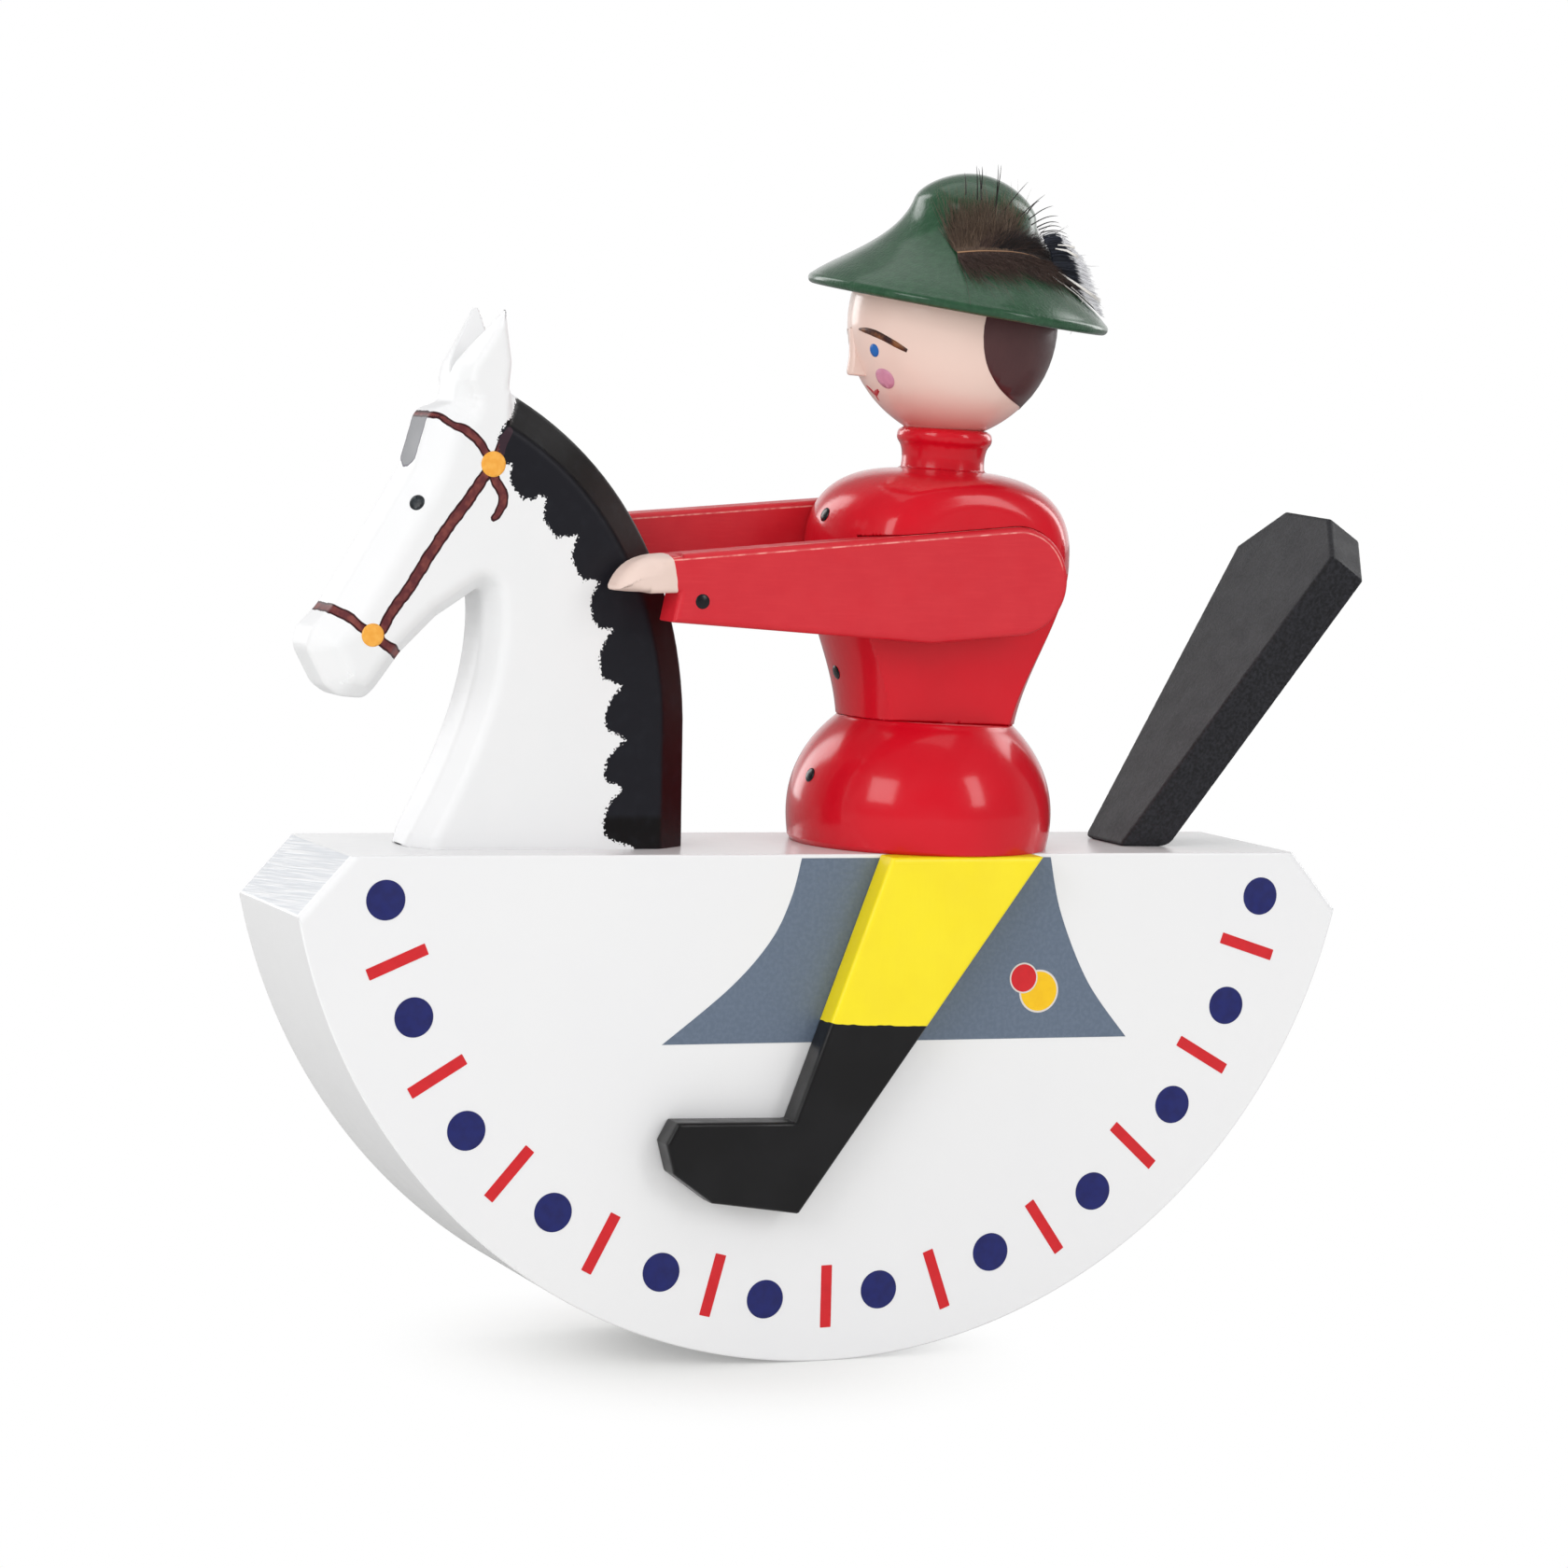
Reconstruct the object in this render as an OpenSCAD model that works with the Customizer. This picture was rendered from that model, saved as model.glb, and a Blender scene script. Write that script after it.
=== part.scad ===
// Wooden balancing rider toy: a figure on a horse that stands on a curved rocker.
// Origin: middle of the rocker's underside, where it touches the table.
// +Z is up, the horse looks along -X, the rider's left side is -Y.

/* [Rocker] */
// Radius of the curved underside
rocker_r = 90; // [80:1:110]
// Thickness of the rocker board
rocker_t = 32; // [26:1:40]
// Height of the deck above the table
deck_z = 80; // [72:1:86]
// Length that each end bevel takes from the deck
end_bevel_l = 8; // [6:0.5:12]
// Height of the deck above the point where an end bevel meets the curve
end_bevel_h = 9; // [6:1:12]
// Radius that softens the rocker's long edges
rocker_edge_r = 1.2; // [0.6:0.1:2]

/* [Horse] */
// Thickness of the horse's board
horse_t = 16; // [14:0.5:20]
// Height of the ear tips above the deck
horse_h = 82.4; // [76:0.5:90]
// Length of the horse from muzzle to mane
horse_l = 61.8; // [56:0.5:66]
// Distance of the back of the neck from the deck's front end
neck_in = 57.4; // [54:0.2:60]
// Depth of the knife cut bevels across the board
horse_bevel = 4; // [3:0.5:5]
// Depth of the notch between the ears
ear_notch_h = 10.6; // [7:0.2:12]

/* [Tail] */
// Thickness of the tail board
tail_t = 7.3; // [6:0.1:9]
// Length of the tail along its front face
tail_l = 64.3; // [56:0.1:68]
// Width of the tail at its foot
tail_foot_w = 13; // [11:0.5:16]
// Greatest width of the tail
tail_w = 31.8; // [26:0.2:32]
// Width of the tail's cut end
tail_end_w = 15; // [12:0.5:20]
// Lean of the tail from level
tail_angle = 57; // [52:0.2:65]
// Distance of the tail's front face from the deck's back end
tail_in = 27.1; // [23:0.1:29]

/* [Rider] */
// Place of the rider's axis along the deck
rider_x = 19.4; // [18:0.1:22]
// Lean of the rider towards the back
rider_lean = 1.7; // [0:0.1:2.5]
// Radius of the hips where they stand on the deck
hip_foot_r = 20.8; // [20:0.1:22]
// Height of the hips
hip_h = 20; // [18:0.2:23]
// Radius of the waist
waist_r = 14.3; // [13:0.1:16]
// Greatest radius of the torso
chest_r = 21.2; // [20:0.1:23]
// Height of the torso's widest place above the waist
chest_h = 27; // [25:0.5:30]
// Height of the collar's foot above the waist
shoulder_h = 39.8; // [38:0.2:43]
// Radius of the collar
collar_r = 6.7; // [6:0.1:7.4]
// Height of the collar
collar_h = 6.5; // [5:0.1:8]
// Distance from the rider's axis to each milled flat
flat_y = 10; // [9:0.1:11]

/* [Head and hat] */
// Greatest radius of the head
head_r = 16.7; // [16:0.1:17.2]
// Radius of the head's foot on the collar
head_foot_r = 6.3; // [5.5:0.1:7]
// Height of the head's widest place above the collar
head_mid_h = 17; // [15:0.2:19]
// Lean of the head towards the back
head_lean = 1.6; // [0:0.1:3]
// Height of the nose
nose_h = 7; // [5:0.1:8]
// Width of the nose at its foot
nose_w = 3.8; // [3:0.1:5]
// How far the nose stands out from the face
nose_out = 2.6; // [2:0.1:4]
// Radius of the hat's brim
brim_r = 24.2; // [23:0.1:26]
// Thickness of the brim at its rim
brim_t = 1.8; // [1.4:0.1:2.4]
// Height of the hat above the brim
hat_h = 20.9; // [19:0.1:23]
// Height of the brim above the collar
hat_up = 19.7; // [18.6:0.1:21]
// Lean of the hat towards the back
hat_back = 3.5; // [0:0.1:6]
// Lean of the hat towards the rider's left
hat_side = 5.4; // [0:0.1:7]

/* [Arms] */
// Thickness of an arm board
arm_t = 7; // [5:0.5:8]
// Half width of an arm at the shoulder
arm_r = 8.55; // [7.5:0.05:9]
// Length of an arm from its dowel to the cuff
arm_l = 58; // [54:0.5:60]
// Width of the sleeve at the cuff
cuff_w = 10.3; // [9:0.1:12]
// Length of a hand beyond the cuff
hand_l = 8.6; // [7:0.2:12]
// Width of a hand
hand_w = 5.9; // [5:0.1:7]
// Place of the shoulder dowels behind the rider's axis
shoulder_back = 6.7; // [5:0.1:8]
// Height of the left shoulder dowel above the waist
left_shoulder_up = 23.2; // [21:0.1:24]
// Height of the right shoulder dowel above the waist
right_shoulder_up = 27.9; // [23:0.1:28.4]
// Fall of the left arm towards the hand
left_arm_fall = 7.3; // [5:0.1:9]
// Fall of the right arm towards the hand
right_arm_fall = 7.1; // [5:0.1:9]

/* [Legs] */
// Thickness of a leg board
leg_t = 5; // [4:0.5:6]
// Height of a leg from the heel to the deck
leg_h = 55.5; // [50:0.5:60]
// Width of the thigh at the deck
thigh_w = 26.3; // [24:0.1:30]
// Distance of the thigh's front edge ahead of the rider's axis
thigh_ahead = 13.6; // [12:0.1:15]

/* [Dowels and fits] */
// Diameter of the dowel through hips and torso
spine_d = 8; // [6:0.5:10]
// Diameter of the neck dowels
neck_dowel_d = 6; // [5:0.5:8]
// Diameter of the dowel between torso and head
head_dowel_d = 6; // [5:0.5:7]
// Diameter of the dowel between head and hat
hat_dowel_d = 5; // [4:0.5:6]
// Diameter of the shoulder dowels
shoulder_dowel_d = 5; // [4:0.5:6]
// Diameter of the leg dowels
leg_dowel_d = 4; // [3:0.5:5]
// Diameter of the tail dowel
tail_dowel_d = 4; // [3:0.5:4.5]
// Glue gap round a fixed dowel
glue_gap = 0.05; // [0.02:0.01:0.08]
// Running gap round a shoulder dowel
run_gap = 0.06; // [0.03:0.01:0.09]
// Gap between an arm and what it passes
arm_gap = 0.3; // [0.25:0.05:0.5]

/* [Feather] */
// Thickness of the feather's vane and down
feather_t = 0.8; // [0.6:0.1:1.2]
// Diameter of the feather's quill
quill_d = 1.2; // [1:0.1:1.8]
// Depth of the quill's hole in the hat
quill_in = 3; // [2:0.2:4]
// Gap between the feather and the hat
feather_gap = 0.3; // [0.2:0.05:0.5]

/* [Hidden] */
$fn = 96;
far = 400;

// Heights in the rider's own frame, above the deck.
collar_up = hip_h + shoulder_h;
head_up = collar_up + collar_h;

// A cubic curve from p[0] to p[3], drawn towards p[1] and p[2], without its last point.
function bend(p, t) = pow(1 - t, 3) * p[0] + 3 * t * pow(1 - t, 2) * p[1]
    + 3 * t * t * (1 - t) * p[2] + pow(t, 3) * p[3];
function curve(p, steps) = [for (i = [0:steps - 1]) bend(p, i / steps)];

// Puts an XZ outline upright and gives it a thickness centred on Y = 0.
module board(t) {
    translate([0, t / 2, 0]) rotate([90, 0, 0]) linear_extrude(t) children();
}

// A round dowel of diameter d along +Z from z = -down to z = up.
module dowel(d, down, up) {
    translate([0, 0, -down]) cylinder(d = d, h = down + up);
}

// ROCKER

bevel_z = deck_z - end_bevel_h;
bevel_x = sqrt(rocker_r * rocker_r - pow(rocker_r - bevel_z, 2));
deck_half = bevel_x - end_bevel_l;

// The softened rim of a wheel of radius r and width t, lying on its side.
module soft_wheel(r, t, soft) {
    rotate([90, 0, 0]) rotate_extrude() hull() {
        translate([0, -t / 2]) square([1, t]);
        for (s = [-1, 1]) translate([r - soft, s * (t / 2 - soft)]) circle(soft, $fn = 32);
    }
}

module deck_section() {
    hull() {
        for (s = [-1, 1]) translate([s * (rocker_t / 2 - rocker_edge_r), deck_z - rocker_edge_r])
            circle(rocker_edge_r, $fn = 32);
        translate([-rocker_t / 2, -1]) square([rocker_t, 1]);
    }
}

module rocker_blank() {
    intersection() {
        translate([0, 0, rocker_r]) soft_wheel(rocker_r, rocker_t, rocker_edge_r);
        board(rocker_t + 2) polygon([[-bevel_x, -1], [bevel_x, -1], [bevel_x, bevel_z],
            [deck_half, deck_z], [-deck_half, deck_z], [-bevel_x, bevel_z]]);
        translate([-far / 2, 0, 0]) rotate([90, 0, 90]) linear_extrude(far) deck_section();
    }
}

module rocker() {
    color("white") difference() {
        rocker_blank();
        neck_dowel_at(front_dowel_x) dowel(neck_dowel_d + 2 * glue_gap, neck_dowel_in + glue_gap, 1);
        neck_dowel_at(rear_dowel_x) dowel(neck_dowel_d + 2 * glue_gap, neck_dowel_in + glue_gap, 1);
        tail_dowel_at() dowel(tail_dowel_d + 2 * glue_gap, tail_dowel_in + glue_gap, tail_t);
        rider_at(0) dowel(spine_d + 2 * glue_gap, spine_in + glue_gap, 1);
        for (side = [-1, 1]) for (p = leg_dowel_points)
            leg_dowel_at(side, p) dowel(leg_dowel_d + 2 * glue_gap, leg_dowel_in + glue_gap, 1);
    }
}

// HORSE: one board, each point of its outline with the width of its bevel on the face.
// An outline point is [x, z], from the back of the neck at the deck, in shares of the
// horse's length and height.

nose_bevel = 3.8;
neck_bevel = 2.6;
mane_bevel = 5.2;
jaw_bevel = 2.6;
ear_bevel = 1;
neck_front = curve([[-0.5615, 0.4794], [-0.534, 0.3398], [-0.6052, 0.182], [-0.7395, 0]], 8);
mane_back = curve([[-0.4757, 0.8289], [-0.2168, 0.7221], [-0.0307, 0.5218], [-0.0097, 0.2427]], 10);

horse_outline = concat(
    [[0, 0, mane_bevel], [-0.7395, 0, neck_bevel]],
    [for (i = [7:-1:1]) concat(neck_front[i], neck_bevel)],
    [[-0.5647, 0.4806, neck_bevel], [-0.6748, 0.4248, jaw_bevel], [-0.7638, 0.3568, jaw_bevel],
     [-0.8252, 0.2913, jaw_bevel], [-0.8511, 0.2731, jaw_bevel], [-0.9159, 0.2767, jaw_bevel],
     [-0.9515, 0.2961, nose_bevel],
     [-1, 0.3629, nose_bevel], [-0.9919, 0.3993, nose_bevel], [-0.9417, 0.4381, nose_bevel],
     [-0.7443, 0.6966, nose_bevel], [-0.7104, 0.7925, nose_bevel], [-0.6958, 0.8058, nose_bevel],
     [-0.6472, 0.8192, nose_bevel], [-0.6408, 0.8617, ear_bevel], [-0.6327, 0.8908, ear_bevel],
     [-0.5922, 0.9369, ear_bevel], [-0.5356, 1, 0], [-0.5129, 0.8956, 0], [-0.5178, 0.8495, 0]],
    [for (p = mane_back) concat(p, mane_bevel)],
    [[-0.0097, 0.2427, mane_bevel]]);

horse_n = len(horse_outline);
function horse_point(i) = let (q = horse_outline[(i + horse_n) % horse_n]) [q[0] * horse_l, q[1] * horse_h];
function unit(v) = v / norm(v);
// Inward direction at a point, square to its two edges' mean.
function inward(i) = let (q = horse_point(i),
    d = unit(unit(horse_point(i + 1) - q) + unit(q - horse_point(i - 1)))) [d[1], -d[0]];
// The face's edge; its two corners on the deck stay on the deck.
function face_point(i) = let (w = horse_outline[i][2], q = horse_point(i))
    i == 0 ? [q[0] - w, 0] : i == 1 ? [q[0] + 1.2 * w, 0] : q + w * inward(i);
function placed(q, y) = [neck_back_x + q[0], y, deck_z + q[1]];

// Splits the face into triangles by clipping one ear at a time, so that a hollow outline stays exact.
function turn(a, b, c) = (b[0] - a[0]) * (c[1] - a[1]) - (b[1] - a[1]) * (c[0] - a[0]);
function holds(a, b, c, p) = turn(a, b, p) <= 0 && turn(b, c, p) <= 0 && turn(c, a, p) <= 0;
function is_ear(ring, i) = let (n = len(ring), a = ring[(i + n - 1) % n], b = ring[i], c = ring[(i + 1) % n],
    pa = face_point(a), pb = face_point(b), pc = face_point(c))
    turn(pa, pb, pc) < -0.001
    && len([for (k = ring) if (k != a && k != b && k != c && holds(pa, pb, pc, face_point(k))) k]) == 0;
function clipped(ring) = len(ring) == 3 ? [ring]
    : let (n = len(ring), i = [for (k = [0:n - 1]) if (is_ear(ring, k)) k][0])
    concat([[ring[(i + n - 1) % n], ring[i], ring[(i + 1) % n]]],
        clipped([for (k = [0:n - 1]) if (k != i) ring[k]]));

module horse_blank() {
    face = clipped([for (i = [0:horse_n - 1]) i]);
    rings = [-horse_t / 2, horse_bevel - horse_t / 2, horse_t / 2 - horse_bevel, horse_t / 2];
    points = [for (k = [0:3]) for (i = [0:horse_n - 1])
        placed(k == 0 || k == 3 ? face_point(i) : horse_point(i), rings[k])];
    sides = [for (k = [0:2]) for (i = [0:horse_n - 1])
        let (a = k * horse_n + i, b = k * horse_n + (i + 1) % horse_n)
        each [[a, b + horse_n, b], [a, a + horse_n, b + horse_n]]];
    far_face = [for (t = face) [t[2], t[1], t[0]] + 3 * horse_n * [1, 1, 1]];
    polyhedron(points, concat(face, sides, far_face));
}

module ear_notch() {
    top = deck_z + horse_h;
    translate([neck_back_x - 0.81 * horse_l, 0, 0]) rotate([90, 0, 90]) linear_extrude(0.65 * horse_l)
        polygon([[0, top - ear_notch_h], [horse_t / 2 - 0.8, top + 1], [0.8 - horse_t / 2, top + 1]]);
}

module horse() {
    color("white") difference() {
        horse_blank();
        ear_notch();
        neck_dowel_at(front_dowel_x) dowel(neck_dowel_d + 2 * glue_gap, 1, neck_dowel_up + glue_gap);
        neck_dowel_at(rear_dowel_x) dowel(neck_dowel_d + 2 * glue_gap, 1, neck_dowel_up + glue_gap);
    }
}

neck_dowel_in = 12;
neck_dowel_up = 12;
neck_back_x = neck_in - deck_half;
front_dowel_x = neck_back_x - 0.534 * horse_l;
rear_dowel_x = neck_back_x - 0.194 * horse_l;

module neck_dowel_at(x) {
    translate([x, 0, deck_z]) children();
}

module front_neck_dowel() {
    color("burlywood") neck_dowel_at(front_dowel_x) dowel(neck_dowel_d, neck_dowel_in, neck_dowel_up);
}

module rear_neck_dowel() {
    color("burlywood") neck_dowel_at(rear_dowel_x) dowel(neck_dowel_d, neck_dowel_in, neck_dowel_up);
}

// TAIL: a tapered paddle that leans back, with clipped corners and its foot cut level.

tail_x = deck_half - tail_in;
tail_corner_l = 6.8;
tail_dowel_in = 12;
tail_dowel_up = 14;

module tail_at() {
    translate([tail_x, 0, deck_z]) rotate([0, 90 - tail_angle, 0]) children();
}

module tail_dowel_at() {
    tail_at() translate([tail_t / 2, 0, 0]) children();
}

module tail() {
    spread = (tail_w - tail_foot_w) / 2 / (tail_l - tail_corner_l);
    foot = tail_foot_w / 2 - spread * tail_t;
    wide = tail_w / 2;
    end = tail_end_w / 2;
    corner = tail_l - tail_corner_l;
    color("dimgray") difference() {
        intersection() {
            tail_at() rotate([90, 0, 90]) linear_extrude(tail_t) polygon([[-end, tail_l], [-wide, corner],
                [-foot, -tail_t], [foot, -tail_t], [wide, corner], [end, tail_l]]);
            translate([-far / 2, -far / 2, deck_z]) cube(far);
        }
        tail_dowel_at() dowel(tail_dowel_d + 2 * glue_gap, tail_t, tail_dowel_up + glue_gap);
    }
}

module tail_dowel() {
    color("burlywood") tail_dowel_at() dowel(tail_dowel_d, tail_dowel_in, tail_dowel_up);
}

// RIDER: hips and torso are turned, with one dowel up through both.

spine_in = 14;
spine_up = 14;

// The rider's frame: on the deck, with +Z up the rider's leaning axis.
module rider_at(up) {
    translate([rider_x, 0, deck_z]) rotate([0, rider_lean, 0]) translate([0, 0, up]) children();
}

module spine_dowel() {
    color("burlywood") rider_at(0) dowel(spine_d, spine_in, hip_h + spine_up);
}

module hips() {
    side = curve([[hip_foot_r, 0], [hip_foot_r, 0.08 * hip_h], [hip_foot_r + 3, 0.56 * hip_h],
        [waist_r, hip_h]], 14);
    color("firebrick") difference() {
        rider_at(0) rotate_extrude()
            polygon(concat([[0, -2], [hip_foot_r, -2]], side, [[waist_r, hip_h], [0, hip_h]]));
        translate([-far / 2, -far / 2, deck_z - far]) cube(far);
        rider_at(0) dowel(spine_d + 2 * glue_gap, 3, hip_h + 1);
    }
}

module torso_blank() {
    top = shoulder_h;
    rise = shoulder_h - chest_h;
    chest = curve([[waist_r, 0], [waist_r + 1.3, 0.36 * chest_h], [chest_r + 0.6, 0.67 * chest_h],
        [chest_r, chest_h]], 10);
    shoulder = curve([[chest_r, chest_h], [chest_r, chest_h + rise / 2],
        [0.85 * chest_r, top - 0.05 * rise], [collar_r, top]], 12);
    collar = [[collar_r, top], [collar_r - 0.1, top + 0.3 * collar_h],
        [collar_r + 0.2, top + 0.55 * collar_h],
        [collar_r + 0.75, top + 0.68 * collar_h], [collar_r + 0.9, top + 0.8 * collar_h],
        [collar_r + 0.7, top + 0.92 * collar_h], [collar_r, top + collar_h]];
    rotate_extrude() polygon(concat([[0, 0]], chest, shoulder, collar, [[0, top + collar_h]]));
}

// The rebate milled for an arm: flat at flat_y, roofed just above the arm's top edge.
module arm_rebate(side, up, fall) {
    arm_place(side, up, fall) translate([-far / 2, 0, -far]) cube([far, far, far + arm_r + arm_gap]);
}

module torso() {
    color("firebrick") difference() {
        rider_at(hip_h) torso_blank();
        arm_rebate(-1, left_shoulder_up, left_arm_fall);
        arm_rebate(1, right_shoulder_up, right_arm_fall);
        rider_at(hip_h) dowel(spine_d + 2 * glue_gap, 1, spine_up + glue_gap);
        rider_at(head_up) dowel(head_dowel_d + 2 * glue_gap, head_dowel_in + glue_gap, 1);
        shoulder_dowel_at(-1, left_shoulder_up)
            dowel(shoulder_dowel_d + 2 * glue_gap, shoulder_dowel_in + glue_gap, 1);
        shoulder_dowel_at(1, right_shoulder_up)
            dowel(shoulder_dowel_d + 2 * glue_gap, shoulder_dowel_in + glue_gap, 1);
    }
}

// ARMS: each turns on a dowel in the torso's flat.

shoulder_dowel_in = 7;
shoulder_dowel_up = 5;

// Frame of an arm: +X towards the hand, +Y outwards from the flat, +Z up.
module arm_place(side, up, fall) {
    rider_at(hip_h + up) translate([shoulder_back, side * flat_y, 0]) mirror([0, side < 0 ? 1 : 0, 0])
        mirror([1, 0, 0]) rotate([0, fall, 0]) children();
}

// Frame of a shoulder dowel: +Z outwards from the torso's flat.
module shoulder_dowel_at(side, up) {
    rider_at(hip_h + up) translate([shoulder_back, side * flat_y, 0])
        rotate([-90 * side, 0, 0]) children();
}

module arm_outline() {
    cuff_low = arm_r - cuff_w;
    hand_low = arm_r - hand_w;
    hand_tip = arm_l + hand_l;
    lean = asin((arm_r + cuff_low) / arm_l);
    polygon(concat(
        [[0, arm_r], [0, 0], [-arm_r * sin(lean), -arm_r * cos(lean)], [arm_l + 0.5, cuff_low],
         [arm_l - 0.8, hand_low], [arm_l + 0.55 * hand_l, hand_low + 0.3], [hand_tip, hand_low + 1]],
        curve([[hand_tip, hand_low + 1.7], [hand_tip - 0.12 * hand_l, hand_low + 0.65 * hand_w],
               [hand_tip - 0.35 * hand_l, arm_r - 0.1], [arm_l + 0.2 * hand_l, arm_r]], 6),
        [[arm_l + 0.2 * hand_l, arm_r]]));
}

module arm(side, up, fall) {
    difference() {
        arm_place(side, up, fall) translate([0, arm_gap, 0]) mirror([0, 1, 0]) rotate([90, 0, 0])
            linear_extrude(arm_t) union() {
                circle(arm_r);
                arm_outline();
            }
        shoulder_dowel_at(side, up)
            dowel(shoulder_dowel_d + 2 * run_gap, 1, shoulder_dowel_up + run_gap);
    }
}

module left_arm() {
    color("firebrick") arm(-1, left_shoulder_up, left_arm_fall);
}

module right_arm() {
    color("firebrick") arm(1, right_shoulder_up, right_arm_fall);
}

module left_shoulder_dowel() {
    color("burlywood") shoulder_dowel_at(-1, left_shoulder_up)
        dowel(shoulder_dowel_d, shoulder_dowel_in, shoulder_dowel_up);
}

module right_shoulder_dowel() {
    color("burlywood") shoulder_dowel_at(1, right_shoulder_up)
        dowel(shoulder_dowel_d, shoulder_dowel_in, shoulder_dowel_up);
}

// HEAD AND HAT

head_dowel_in = 12;
head_dowel_up = 9;
hat_dowel_in = 8;
hat_dowel_up = 9;
hat_seat = 3.4;
hat_fit = 1;
face_turn = 8;

// The head's frame leans a little more than the torso.
module head_at() {
    rider_at(head_up) translate([-0.5, 0, 0]) rotate([0, head_lean, 0]) children();
}

module hat_at() {
    rider_at(head_up + hat_up) translate([0.7, 0, 0]) rotate([hat_side, hat_back, 0]) children();
}

module head_shape(grow) {
    mid = head_mid_h;
    top = mid + 0.66 * head_r;
    side = curve([[head_foot_r, 0], [0.66 * head_r, 0.17 * mid], [head_r, 0.5 * mid], [head_r, mid]], 12);
    crown = curve([[head_r, mid], [head_r, mid + 0.36 * head_r],
        [0.76 * head_r, mid + 0.6 * head_r], [0, top]], 8);
    rotate_extrude() polygon([for (p = concat([[0, -1], [head_foot_r, -1]], side, crown, [[0, top]]))
        [p[0] > 0 ? p[0] + grow : 0, p[1]]]);
}

module head() {
    color("bisque") difference() {
        head_at() head_shape(0);
        rider_at(head_up) translate([-far / 2, -far / 2, -far]) cube(far);
        hat_at() translate([-far / 2, -far / 2, hat_seat]) cube(far);
        rider_at(head_up) dowel(head_dowel_d + 2 * glue_gap, 1, head_dowel_up + glue_gap);
        hat_dowel_at() dowel(hat_dowel_d + 2 * glue_gap, hat_dowel_in + glue_gap, 1);
    }
}

module head_dowel() {
    color("burlywood") rider_at(head_up) dowel(head_dowel_d, head_dowel_in, head_dowel_up);
}

nose_foot_z = head_mid_h - 9.5;
nose_root = head_r - 4;

// A wedge that widens downwards, hollowed at the back to the head's curve.
module nose() {
    color("bisque") difference() {
        head_at() rotate([0, 0, 180 - face_turn]) translate([nose_root, 0, nose_foot_z]) intersection() {
            board(nose_w)
                polygon([[0, 0], [1.2 + nose_out, 0], [4.2, nose_h], [0, nose_h]]);
            rotate([90, 0, 90]) linear_extrude(nose_out + 2)
                polygon([[-nose_w / 2, 0], [nose_w / 2, 0],
                    [0.2 * nose_w, nose_h], [-0.2 * nose_w, nose_h]]);
            linear_extrude(nose_h)
                polygon([[0, -nose_w / 2], [2, -nose_w / 2], [1.2 + nose_out, -0.2 * nose_w],
                    [1.2 + nose_out, 0.2 * nose_w], [2, nose_w / 2], [0, nose_w / 2]]);
        }
        head_at() head_shape(glue_gap);
    }
}

module hat_outer(grow) {
    rim = brim_t / 2;
    slope = curve([[brim_r - 0.6, rim], [0.825 * brim_r, 0.215 * hat_h], [0.463 * brim_r, 0.405 * hat_h],
        [0.405 * brim_r, 0.74 * hat_h]], 12);
    crown = curve([[0.405 * brim_r, 0.74 * hat_h], [0.383 * brim_r, 0.842 * hat_h],
        [0.2 * brim_r, hat_h], [0, hat_h]], 10);
    rotate_extrude() intersection() {
        offset(delta = grow) union() {
            polygon(concat([[-1, -rim], [brim_r - rim, -rim]], slope, crown, [[0, hat_h], [-1, hat_h]]));
            translate([brim_r - rim, 0]) circle(rim, $fn = 32);
        }
        translate([0, -far / 2]) square(far);
    }
}

module hat() {
    color("seagreen") difference() {
        hat_at() hat_outer(0);
        hat_at() translate([0, 0, -brim_t]) cylinder(r = head_r + hat_fit, h = brim_t + hat_seat);
        hat_dowel_at() dowel(hat_dowel_d + 2 * glue_gap, 1, hat_dowel_up + glue_gap);
        quill_hole();
    }
}

module hat_dowel_at() {
    hat_at() translate([0, 0, hat_seat]) children();
}

module hat_dowel() {
    color("burlywood") hat_dowel_at() dowel(hat_dowel_d, hat_dowel_in, hat_dowel_up);
}

// FEATHER: its quill is glued in a hole on the hat's left side.

// Frame of the quill's hole: at the hat's skin, +Z out of the hole.
module quill_at() {
    hat_at() rotate([0, 0, -117]) translate([0.6 * brim_r, 0, 0.37 * hat_h])
        rotate([0, 60, 0]) children();
}

module quill_hole() {
    quill_at() translate([0, 0, -quill_in]) cylinder(d = quill_d + 2 * glue_gap, h = 2 * quill_in);
}

module feather_quill() {
    color("wheat") quill_at() translate([0, 0, glue_gap - quill_in]) cylinder(d = quill_d, h = 1.2 * quill_in);
}

// Down that hugs the crown, and the vane that stands off it behind.
module feather_skin() {
    hat_at() difference() {
        hat_outer(feather_gap + feather_t);
        hat_outer(feather_gap);
    }
}

// Outlines seen from the left, in shares of the brim's radius and the hat's height.
down_outline = [[-0.236, 0.257], [-0.287, 0.806], [-0.193, 1.144], [0.220, 1.158],
    [0.463, 0.717], [0.399, 0.303], [0.038, 0.219]];
vane_outline = [[0.337, 0.301], [0.292, 0.605], [0.416, 0.777], [0.560, 0.653],
    [0.698, 0.246], [0.821, -0.027], [0.601, -0.001]];

module feather_outline(points) {
    polygon([for (p = points) [p[0] * brim_r, p[1] * hat_h]]);
}

module feather_at() {
    rider_at(head_up + hat_up) children();
}

module feather_down() {
    color("saddlebrown") difference() {
        intersection() {
            feather_skin();
            feather_at() rotate([90, 0, 0]) linear_extrude(1.65 * brim_r) feather_outline(down_outline);
        }
        quill_at() translate([0, 0, -quill_in]) cylinder(d = quill_d + 4 * glue_gap, h = 3 * quill_in);
    }
}

module feather_vane() {
    color("slategray") difference() {
        feather_at() translate([0, -0.496 * brim_r, 0]) board(feather_t) feather_outline(vane_outline);
        hat_at() hat_outer(feather_gap + feather_t + glue_gap);
    }
}

// LEGS: boards glued and dowelled to the rocker's sides, under the hips' edge.

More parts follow.
